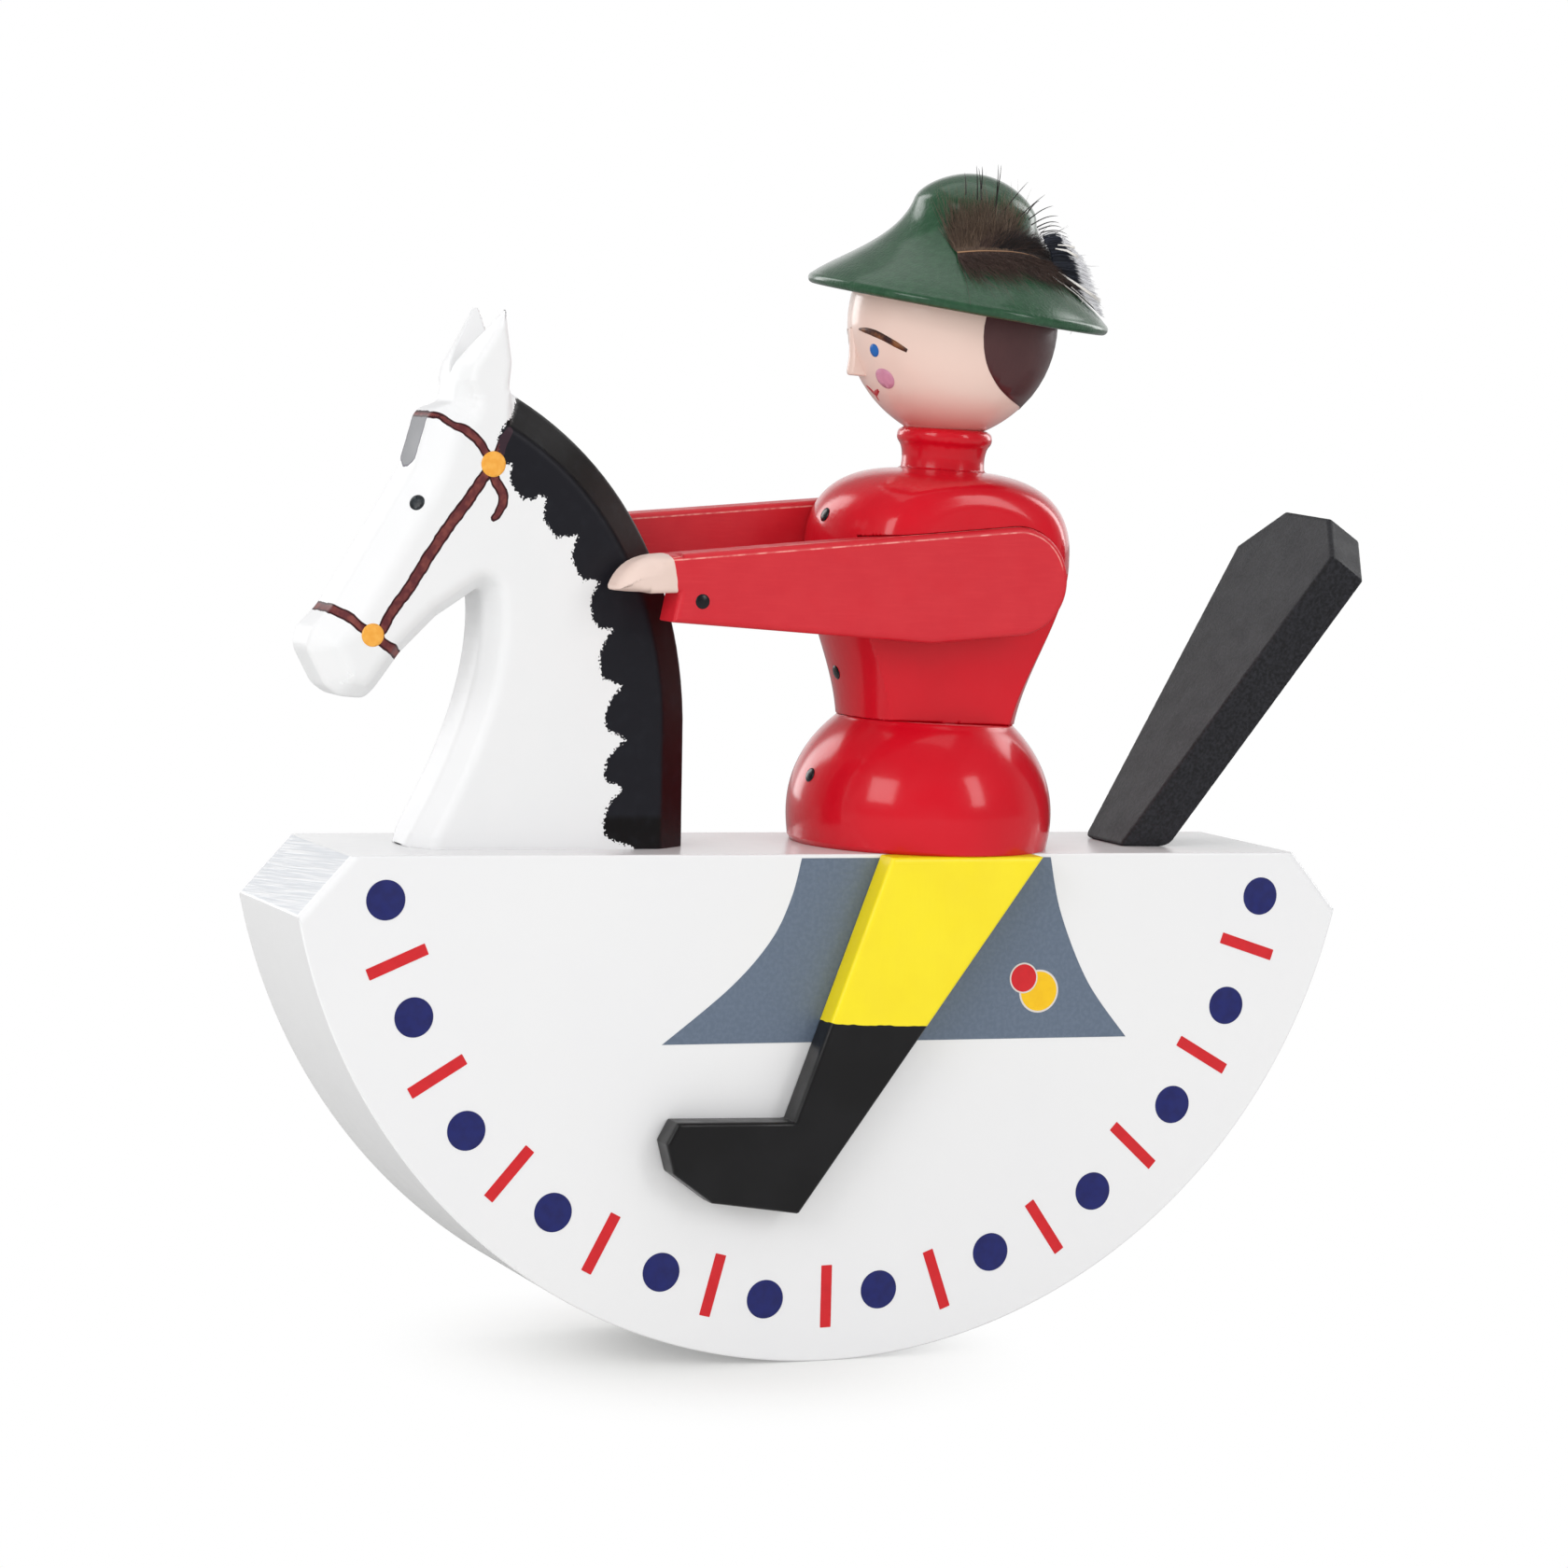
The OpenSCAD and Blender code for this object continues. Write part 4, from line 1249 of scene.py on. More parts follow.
    def cloth(self) -> None:
        """Prints the saddle cloth and its ornament on both faces."""
        left = smooth_path([(-7.4, 79.4), (-8.9, 73.2), (-12.05, 66.6), (-18.5, 59.4), (-29.5, 50.7)], 1.0)
        right = smooth_path([(50.5, 50.4), (43.2, 59.4), (37.9, 70.4), (35.6, 79.4)], 1.0)
        yellow, red = (34.56, 57.99), (31.77, 60.14)
        layers = (
            ("edge", yellow, 3.45, ORNAMENT_EDGE, 0.07),
            ("yellow", yellow, 3.15, YELLOW_DOT, 0.09),
            ("red_edge", red, 2.45, ORNAMENT_EDGE, 0.11),
            ("red", red, 2.2, DASH_RED, 0.13),
        )
        for side in Side:
            place = partial(self.face, side)
            cloth = film(f"saddle_cloth_{side.label}", np.concatenate([left, right]), place, 3.0, 0.05)
            dress(cloth, SLATE)
            for part, centre, radius, finish, height in layers:
                spot = film(f"cloth_ornament_{part}_{side.label}", circle(centre, radius), place, 0.8, height)
                dress(spot, finish)

    def build(self, marks: PrintedMarks) -> None:
        """Builds all of the rocker."""
        self.body()
        self.border(marks)
        self.cloth()


# --- horse


@dataclass
class Horse:
    """The sawn and knife cut horse with its painted mane and bridle."""

    back_x: float = -22.57
    deck: float = 80.0
    half: float = 8.0
    bevel: float = 4.0
    notch_z: float = 151.8
    notch_slope: float = 7.2 / 11.6
    notch_depth: float = 12.0
    soft: float = 0.5
    face_soft: float = 1.1
    mane_soft: float = 0.45
    far_ear: Pair = (0.2, 1.5)
    voxel: float = 0.42
    upper_ring: Pair = (-57.25, 138.42)
    lower_ring: Pair = (-75.37, 112.32)

    def shape(self) -> tuple[Points, Points]:
        """The XZ outline and the width of the bevel at each of its corners."""
        nose, neck, mane, jaw, ear = 3.8, 2.6, 5.2, 2.6, 1.0
        rows = [(0, 0, mane), (-45.7, 0, neck)]
        rows += [(x, z, neck) for x, z in bezier([(-34.7, 39.5), (-33, 28), (-37.4, 15), (-45.7, 0)], 18)[:0:-1]]
        rows += [(-34.9, 39.6, neck), (-41.7, 35, jaw), (-47.2, 29.4, jaw), (-51, 24, jaw), (-52.6, 22.5, jaw)]
        rows += [(-56.6, 22.8, jaw), (-58.8, 24.4, nose), (-61.8, 29.9, nose), (-61.3, 32.9, nose), (-58.2, 36.1, nose)]
        rows += [(-46, 57.4, nose), (-43.9, 65.3, nose), (-43, 66.4, nose), (-40, 67.5, nose), (-39.6, 71, ear)]
        rows += [(-39.1, 73.4, ear), (-36.6, 77.2, ear), (-33.1, 82.4, 0.4), (-31.7, 73.8, 0.4), (-32, 70, 0.4)]
        rows += [(x, z, mane) for x, z in bezier([(-29.4, 68.3), (-13.4, 59.5), (-1.9, 43), (-0.6, 20)], 24)]
        rows += [(-0.6, 20, mane)]
        data = np.array(rows, float)
        return data[:, :2] + (self.back_x, self.deck), data[:, 2]

    def distance(self, p: Points) -> Points:
        """The distance of points from the horse's skin, below 0 inside."""
        y = np.abs(p[:, 1])
        rise = np.clip((p[:, 2] - self.notch_z) / 9, 0, 1) * np.clip(p[:, 1] / 2, 0, 1)
        q = p[:, [0, 2]] - rise[:, None] * self.far_ear
        flat = outline_distance(q, self._outline)[0]
        _, width, facet = carved(q, self._soft_rows, y, self.half, self.bevel)
        soft = self.face_soft + (self.mane_soft - self.face_soft) * np.clip((width - 4) / 1.2, 0, 1)
        skin = soft_max(flat, soft_max(y - self.half, facet, soft), self.soft)
        groove = (y - self.notch_slope * (p[:, 2] - self.notch_z)) / math.sqrt(1 + self.notch_slope**2)
        return soft_max(skin, -groove, 0.25)

    def blank(self) -> Piece:
        """A first mesh of the horse, made of its four rings and notched between the ears."""
        outline, widths = self._shape
        back, ahead = np.roll(outline, 1, axis=0), np.roll(outline, -1, axis=0)
        d = unit(unit(ahead - outline) + unit(outline - back))
        inner = outline + widths[:, None] * np.stack((d[:, 1], -d[:, 0]), 1)
        inner[0] = outline[0] + (-widths[0], 0)
        inner[1] = outline[1] + (1.2 * widths[1], 0)
        n = len(outline)
        inner_y, outer_y = self.half - self.bevel, self.half
        rings = [(inner, -outer_y), (outline, -inner_y), (outline, inner_y), (inner, outer_y)]
        points = np.array([(x, y, z) for ring, y in rings for x, z in ring])
        faces: list = [tuple(range(n)), tuple(range(4 * n - 1, 3 * n - 1, -1))]
        for k in range(0, 3 * n, n):
            faces += [(k + i, k + (i + 1) % n, k + n + (i + 1) % n, k + n + i) for i in range(n)]
        obj = make_object("carved_horse", points, faces)
        top = self.notch_depth
        half = self.notch_slope * top
        wedge = np.array([(0, self.notch_z), (half, self.notch_z + top), (-half, self.notch_z + top)])
        cutter_points, cutter_faces = board(wedge, -80.0, -40.0)
        return remeshed(obj, self.voxel, [make_object("notch_cutter", cutter_points[:, [1, 0, 2]], cutter_faces)])

    def paint(self, obj: Piece) -> None:
        """Stores how far each point is inside each painted part, in millimetres."""
        p = points_of(obj)
        flat = p[:, [0, 2]]
        lobes = [
            (-52.0, 149.5), (-54.0, 146.0), (-55.56, 144.6), (-56.58, 142.7), (-56.8, 141.85), (-56.3, 139.9),
            (-55.33, 138.43), (-54.2, 138.66), (-54.54, 137.15), (-54.33, 135.51), (-53.44, 134.37), (-52.15, 133.23),
            (-50.65, 133.27), (-49.83, 134.1), (-48.66, 133.56), (-48.85, 132.15), (-48.78, 130.26), (-47.83, 128.88),
            (-46.77, 127.63), (-45.17, 127.91), (-43.26, 128.05), (-43.86, 126.61), (-44.14, 124.72), (-43.36, 122.84),
            (-42.13, 121.11), (-40.88, 121.47), (-39.45, 121.12), (-40.4, 119.58), (-40.83, 117.68), (-40.38, 115.31),
            (-39.06, 113.9), (-36.77, 113.94), (-37.99, 112.49), (-39.01, 110.09), (-38.92, 107.95), (-38.24, 106.05),
            (-36.7, 105.83), (-35.14, 105.13), (-36.61, 103.44), (-37.65, 101.52), (-37.73, 99.61), (-37.16, 98.18),
            (-35.35, 97.71), (-34.3, 96.86), (-36.02, 95.31), (-37.24, 93.87), (-37.56, 91.47), (-37.1, 90.27),
            (-35.56, 90.04), (-34.34, 89.08), (-35.98, 87.88), (-36.94, 86.2), (-37.45, 83.8), (-37.03, 82.11),
            (-35.2, 81.15), (-32.61, 80.42), (-30, 79),
        ]  # fmt: skip
        mane = np.array(lobes + [(-15, 79), (-15, 120), (-40, 150)])
        set_attribute(obj, "mane", -outline_distance(flat, mane)[0])
        side = np.abs(p[:, 1])
        ring = self.upper_ring
        straps = (
            ([(-68.6, 145.9), (-66.3, 145.5), (-64.9, 145.2), (-63.6, 144.1), (-61.7, 143.3), (-59.8, 141.8),
              (-58.4, 139.9), (-57.25, 138.4)], (1.0, 1.0, 1.1, 1.5, 1.5, 1.5, 1.3)),
            ([ring, (-58.84, 136.2), (-60.9, 133.1), (-64.12, 128.7), (-66.92, 124.4), (-69.7, 119.8),
              (-72.5, 115.9), (-73.9, 113.1), (-75.2, 112.0)], (1.7, 1.9, 1.9, 1.9, 1.8, 1.5)),
            ([(-83.5, 117.4), (-80.9, 116.0), (-80.2, 115.7), (-78.86, 114.98), (-77.53, 113.72), (-75.37, 112.32),
              (-73.42, 111.0), (-71.3, 109.8), (-69.4, 108.4)], (1.5, 1.6, 1.5, 1.5, 1.7, 1.5)),
            ([ring, (-57.0, 136.25), (-55.81, 134.5), (-55.55, 132.8), (-56.2, 131.0), (-56.8, 130.3)],
             (1.4, 1.6, 1.7, 1.6, 1.1)),
            ([ring, (-56.4, 140.1), (-55.8, 141.9), (-54.9, 143.4)], (1.4, 1.6, 1.6, 1.3)),
        )  # fmt: skip
        bridle = np.full(len(p), OUTSIDE)
        for points, widths in straps:
            path = smooth_path(points, 0.5)
            gap, edge, along = nearest_edge(flat, path[:-1], path[1:])
            place = (edge + along) / (len(path) - 1)
            half = np.interp(place, np.linspace(0, 1, len(widths)), widths) / 2
            bridle = np.maximum(bridle, half - gap)
        set_attribute(obj, "bridle", bridle)
        # The forelock patch across the front flat, which the finish paints grey as a painted reflection.
        low = 137.4 + 1.3 * (side / 3.4) ** 2
        patch = np.minimum(np.minimum(3.5 - side, p[:, 2] - low), 146.0 - p[:, 2])
        set_attribute(obj, "forelock", np.where(p[:, 0] < -60, patch, OUTSIDE))
        outline, _ = self._shape
        # The "back" share covers the bevel along the outline; on the mane it darkens the black as painted shade.
        set_attribute(obj, "back", np.clip((outline_distance(flat, outline)[0] + 5.4) / 0.8, 0, 1))

    def round_spot(self, centre: Pair, radius: float, place: Place) -> Points:
        """An outline in X and Z that is round on the skin itself.

        Args:
            centre: its middle.
            radius: its radius on the skin.
            place: gives the skin's points and outward directions.

        Returns:
            The outline.
        """
        out = place(np.array([centre]))[1][0]
        tilt = np.array((out[0], out[2]))
        size = np.linalg.norm(tilt)
        ring = circle((0, 0), radius)
        if size > 1e-3:
            tilt /= size
            ring -= (ring @ tilt)[:, None] * tilt * (1 - abs(out[1]))
        return ring + centre

    def skin(self, side: Side, uv: Points) -> tuple[Points, Points]:
        """Points on one side of the horse at XZ coordinates, and their outward direction."""
        p = np.stack((uv[:, 0], np.full(len(uv), side.value * self.half), uv[:, 1]), 1)
        for _ in range(6):
            p[:, 1] -= side.value * self.distance(p)
        return p, unit(gradient(self.distance, p))

    def build(self) -> None:
        """Builds the horse with its paint, rosettes and eyes."""
        self._shape = self.shape()
        outline, widths = self._shape
        reach = np.where(outline[:, 1] > self.deck + 70, 0.0, 0.8)
        reach[[0, 1, -1]] = 0
        self._outline = rounded_corners(outline, reach)
        self._outline[[0, 1], 1] -= 1.5
        reach = np.where(widths < 0.5, 0.0, np.where(outline[:, 1] > self.deck + 68, 0.8, 3.5))
        reach[[0, 1, -1]] = 0
        self._soft_rows = rounded_corners(np.column_stack((outline, widths)), reach)
        self._soft_rows[[0, 1], 1] -= 9
        obj = self.blank()
        refit(obj, self.distance, floor=self.deck)
        self.paint(obj)
        dress(obj, HORSE, ["horse"])
        for side in Side:
            place = partial(self.skin, side)
            for name, centre, radius, finish, dome, slot in (
                ("upper_rosette", self.upper_ring, 1.95, ROSETTE, 0.05, "yellow_lacquer"),
                ("lower_rosette", self.lower_ring, 1.75, ROSETTE, 0.05, "yellow_lacquer"),
                ("horse_eye", (-68.65, 132.25), 1.22, EYE_BLACK, 0.12, "black_stain"),
            ):
                spot = film(f"{name}_{side.label}", self.round_spot(centre, radius, place), place, 0.35, 0.04, dome)
                dress(spot, finish)


# --- tail


@dataclass
class Tail:
    """The stained paddle that leans back from the deck."""

    x: float = 52.87
    deck: float = 80.0
    angle: float = 57.0
    thickness: float = 7.3
    length: float = 64.3
    corner: float = 6.8
    foot_w: float = 13.0
    wide: float = 31.8
    end_w: float = 15.0

    def build(self) -> None:
        """Builds the tail and cuts its foot level with the deck."""
        top = self.length - self.corner
        foot = self.foot_w / 2 - (self.wide - self.foot_w) / 2 / top * (self.thickness + 2)
        near, far = -self.wide / 2, self.wide / 2
        rows = [(-foot, -self.thickness - 2), (near, top), (-self.end_w / 2, self.length + 0.4)]
        rows += [(self.end_w / 2, self.length + 1.1), (far + 0.3, top + 0.4), (foot, -self.thickness - 2)]
        at = moved(self.x, 0, self.deck) @ turned(90 - self.angle, "Y") @ turned(-90, "Z") @ flipped("X")
        outline = np.array([(w, z, 0.0) for w, z in rows])
        shape = SawnBoard(outline, 0.0, self.thickness, at, soft=0.8, voxel=0.42, floor=self.deck)
        dress(shape.make("stained_tail"), STAIN, ["tail"])


# --- rider


@dataclass(frozen=True)
class Stack:
    """The rider's leaning axis and the frames on it."""

    x: float = 19.4
    deck: float = 80.0
    lean: float = 1.7
    waist: float = 20.0
    collar: float = 66.3
    shoulders: Rows = ((23.2, 7.3), (27.9, 7.1))

    def at(self, up: float) -> Matrix:
        """The rider's frame at a height above the deck."""
        return moved(self.x, 0, self.deck) @ turned(self.lean, "Y") @ moved(0, 0, up)

    def head(self) -> Matrix:
        """The head's frame."""
        return self.at(self.collar) @ moved(-0.5, 0, 0) @ turned(1.6, "Y")

    def hat(self) -> Matrix:
        """The hat's frame."""
        return self.at(self.collar + 20.0) @ moved(0.7, 0, 0) @ turned(4.6, "Y") @ turned(5.4, "X")

    def arm(self, side: Side) -> Matrix:
        """An arm's frame at its own height and fall: +X to the hand, +Y outwards, +Z up."""
        up, fall = self.shoulders[list(Side).index(side)]
        mirror = flipped("Y") if side is Side.LEFT else Matrix.Identity(4)
        return self.at(self.waist + up) @ moved(6.7, side.value * 10.0, 0) @ mirror @ flipped("X") @ turned(fall, "Y")


STACK = Stack()
BUTTON_D = 2.3


@dataclass
class TurnedField:
    """The distance field of a turned piece."""

    profile: Points
    at: Matrix

    def distance(self, p: Points) -> Points:
        """The distance of points from the piece's skin, below 0 inside."""
        q = placed(p, self.at.inverted())
        flat = np.stack((np.hypot(q[:, 0], q[:, 1]), q[:, 2]), 1)
        return outline_distance(flat, self.profile)[0]


@dataclass
class Trunk:
    """The turned hips and torso with the flats that are milled for the arms."""

    foot_r: float = 20.8
    hip_h: float = 20.0
    waist_r: float = 14.3
    chest_r: float = 21.2
    chest_h: float = 27.0
    shoulder_h: float = 39.8
    collar_r: float = 6.7
    collar_h: float = 6.5
    flush: float = 6.3
    roof: float = 8.62
    flat_soft: float = 2.4
    roof_soft: float = 0.1
    voxel: float = 0.42

    def hips_profile(self) -> Points:
        """Radius and height of the hips, from the foot's middle to the top's middle."""
        r, h = self.waist_r, self.hip_h
        side = bezier([(self.foot_r, 0.25), (self.foot_r, 1.6), (self.foot_r + 3, 11.2), (r, h - 0.3)], 40)
        top = [(r, h - 0.3), (r - 0.12, h - 0.08), (r - 0.4, h), (0, h)]
        return np.concatenate([[(0, -1), (self.foot_r - 0.5, -1), (self.foot_r - 0.3, -0.1)], side, top])

    def torso_profile(self) -> Points:
        """Radius and height of the torso and collar."""
        rise, top, wide = self.shoulder_h - self.chest_h, self.shoulder_h, self.chest_r
        chest = bezier([(self.waist_r, 0), (15.6, 9.72), (21.8, 18.09), (wide, self.chest_h)], 26)
        r, h = self.collar_r, self.collar_h
        shoulder = bezier([(wide, self.chest_h), (wide, 33.4), (18.0, top - 0.05 * rise), (r, top)], 30)
        swell = ((0, 0), (-0.1, 0.3), (0.2, 0.55), (0.75, 0.68), (0.9, 0.8), (0.7, 0.92), (0, 1))
        collar = smooth_path([(r + out, top + up * h) for out, up in swell], 0.35)
        return np.concatenate([[(0, 0)], chest, shoulder, collar, [(0, top + h)]])

    def distance(self, p: Points) -> Points:
        """The distance of points from the torso's skin."""
        skin = self._torso.distance(p)
        for inverse in self._arms:
            q = placed(p, inverse)
            behind = (q[:, 0] < 0) & (q[:, 2] > 0)
            over = np.where(behind, np.hypot(q[:, 0], q[:, 2]), q[:, 2]) - self.roof
            skin = soft_max(skin, q[:, 1] - self.flush, self.flat_soft)
            skin = soft_max(skin, -np.maximum(-q[:, 1], over), self.roof_soft)
        return skin

    def torso(self) -> None:
        """Builds the torso: turned, milled flat for the arms, and lacquered."""
        at = STACK.at(STACK.waist)
        self._torso = TurnedField(self.torso_profile(), at)
        frames = [STACK.arm(side) for side in Side]
        self._arms = [m.inverted() for m in frames]
        obj = make_object("lacquered_torso", *lathe(self.torso_profile(), 96), at)
        a = np.linspace(math.pi / 2, math.pi, 12)
        arc = zip(self.roof * np.cos(a), self.roof * np.sin(a))
        pocket = np.array([(60, -80), (60, self.roof), *arc, (-60, 0), (-60, -80)])
        remeshed(obj, self.voxel, [make_object("flat_cutter", *board(pocket, 0.0, 40.0), m) for m in frames])
        refit(obj, self.distance)
        dress(obj, TURNED_RED, ["torso"])

    def hips(self) -> None:
        """Builds the hips, cut level at the deck."""
        at = STACK.at(0)
        points, faces = lathe(self.hips_profile(), 160)
        p = placed(points, at)
        p[:, 2] = np.maximum(p[:, 2], STACK.deck)
        obj = smoothed(make_object("lacquered_hips", p, faces))
        dress(obj, TURNED_RED, ["hips"])

    def buttons(self, drops: PaintDrops) -> None:
        """Sets the jacket's three black buttons in a line down the front."""
        torso, hips = self.distance, TurnedField(self.hips_profile(), STACK.at(0)).distance
        points, turns = [], []
        for start, shape in (
            ((0.46, -1.51, 132.15), torso),
            ((4.29, 0.19, 107.19), torso),
            ((-0.59, -2.31, 91.06), hips),
        ):
            p = settled(shape, np.array([start]), steps=4)
            points.append(p[0])
            turns.append(facing(gradient(shape, p)[0]))
        size = {"Diameter": BUTTON_D * MM, "Rise": 0.3}
        dress(drops.run_on("jacket_buttons", points, turns, BUTTON, **size), BUTTON)

    def build(self, drops: PaintDrops) -> None:
        """Builds the trunk."""
        self.hips()
        self.torso()
        self.buttons(drops)


@dataclass
class Arm:
    """A sawn arm with its hand, which turns on a dowel in the torso's flat."""

    side: Side
    radius: float = 8.55
    length: float = 58.0
    cuff_w: float = 10.3
    hand_l: float = 8.6
    hand_w: float = 5.9
    thickness: float = 7.0
    gap: float = 0.3

    def outline(self) -> Points:
        """The arm's outline in its own frame, as rows of x, z and the width of the carved bevel."""
        length, r = self.length, self.radius
        low, cuff, tip = r - self.hand_w, r - self.cuff_w, length + self.hand_l
        a = np.linspace(math.pi / 2, 1.5 * math.pi, 40)
        rows = [(r * math.cos(t), r * math.sin(t), 0.0) for t in a]
        rows += [(15.4, 0.04 - r, 0.0), (length + 0.5, cuff, 0.0), (length - 0.8, low, 0.0)]
        rows += [(length + 4.7, low + 0.3, 0.3), (tip, low + 1, 1.0)]
        fingers = [(tip, low + 1.7), (tip - 0.12 * self.hand_l, low + 0.65 * self.hand_w)]
        wrist = length + 0.2 * self.hand_l
        rows += [(x, z, 1.9) for x, z in bezier(fingers + [(tip - 0.35 * self.hand_l, r - 0.1), (wrist, r)], 8)]
        return np.array(rows + [(wrist, r, 1.2), (length - 2.6, r, 0.0)])

    def build(self, drops: PaintDrops) -> None:
        """Builds the arm and its cuff button.

        Its "edge" attribute is millimetres, 0 at the top edge and less inside, and far below that elsewhere.

        Args:
            drops: the tree that sets the button.
        """
        side, at = self.side.label, STACK.arm(self.side)
        shape = SawnBoard(self.outline(), self.gap, self.gap + self.thickness, at, soft=1.1, voxel=0.3)
        obj = shape.make(f"{side}_sleeve_and_hand")
        x, _, z = placed(points_of(obj), at.inverted()).T
        hand = x - (self.length - 0.35 + 0.05 * (z - 5))
        set_attribute(obj, "paint", np.minimum(hand, z - (self.radius - self.hand_w - 0.35)))
        flat, slab, _ = shape.local(points_of(obj))
        # Only the top edges carry the pale line: partly wear, partly a painted highlight where the light falls on them.
        top = (z > self.radius - 2.2) | ((x < 0) & (z > 1))
        set_attribute(obj, "edge", np.where(top, np.minimum(flat, slab), -3.0))
        body = Body.LEFT_ARM if self.side is Side.LEFT else Body.RIGHT_ARM
        dress(obj, ARM, [f"{side}_arm"], body)
        button = placed([(self.length - 4.3, self.gap + self.thickness, 1.1)], at)
        turn = [facing(np.array(at)[:3, 1])]
        size = {"Diameter": BUTTON_D * MM, "Rise": 0.22}
        dress(drops.run_on(f"{side}_cuff_button", button, turn, BUTTON, **size), BUTTON, body=body)


@dataclass
class Leg:
    """A leg board with its breeches and boot, its corners given as shares of its height."""

    side: Side
    x: float = 5.8
    deck: float = 80.0
    height: float = 55.5
    thigh_w: float = 26.3
    thickness: float = 5.0
    inner: float = 16.0

    def build(self) -> None:
        """Builds the leg, painted yellow above a line over the calf and black below."""
        shares = [(-0.24, -1), (-0.342, -0.985), (-0.501, -0.962), (-0.62, -0.877), (-0.645, -0.79)]
        shares += [(-0.614, -0.732), (-0.265, -0.739)]
        rows = [(0, 0), (self.thigh_w, 0)] + [(x * self.height, z * self.height) for x, z in shares]
        rows = np.array([(x + self.x, z + self.deck, 0.0) for x, z in rows])
        near, far = self.inner, self.inner + self.thickness
        low, high = (near, far) if self.side is Side.RIGHT else (-far, -near)
        obj = SawnBoard(rows, low, high, Matrix.Identity(4), soft=0.8).make(f"{self.side.label}_breeches_and_boot")
        p = points_of(obj)
        start, end = np.array((13.3, 53.4)), np.array((-3.1, 54.2))
        d = unit((end - start)[None])[0]
        set_attribute(obj, "paint", (p[:, 0] - start[0]) * -d[1] + (p[:, 2] - start[1]) * d[0])
        dress(obj, LEG, [f"{self.side.label}_leg"])


# --- head and hat


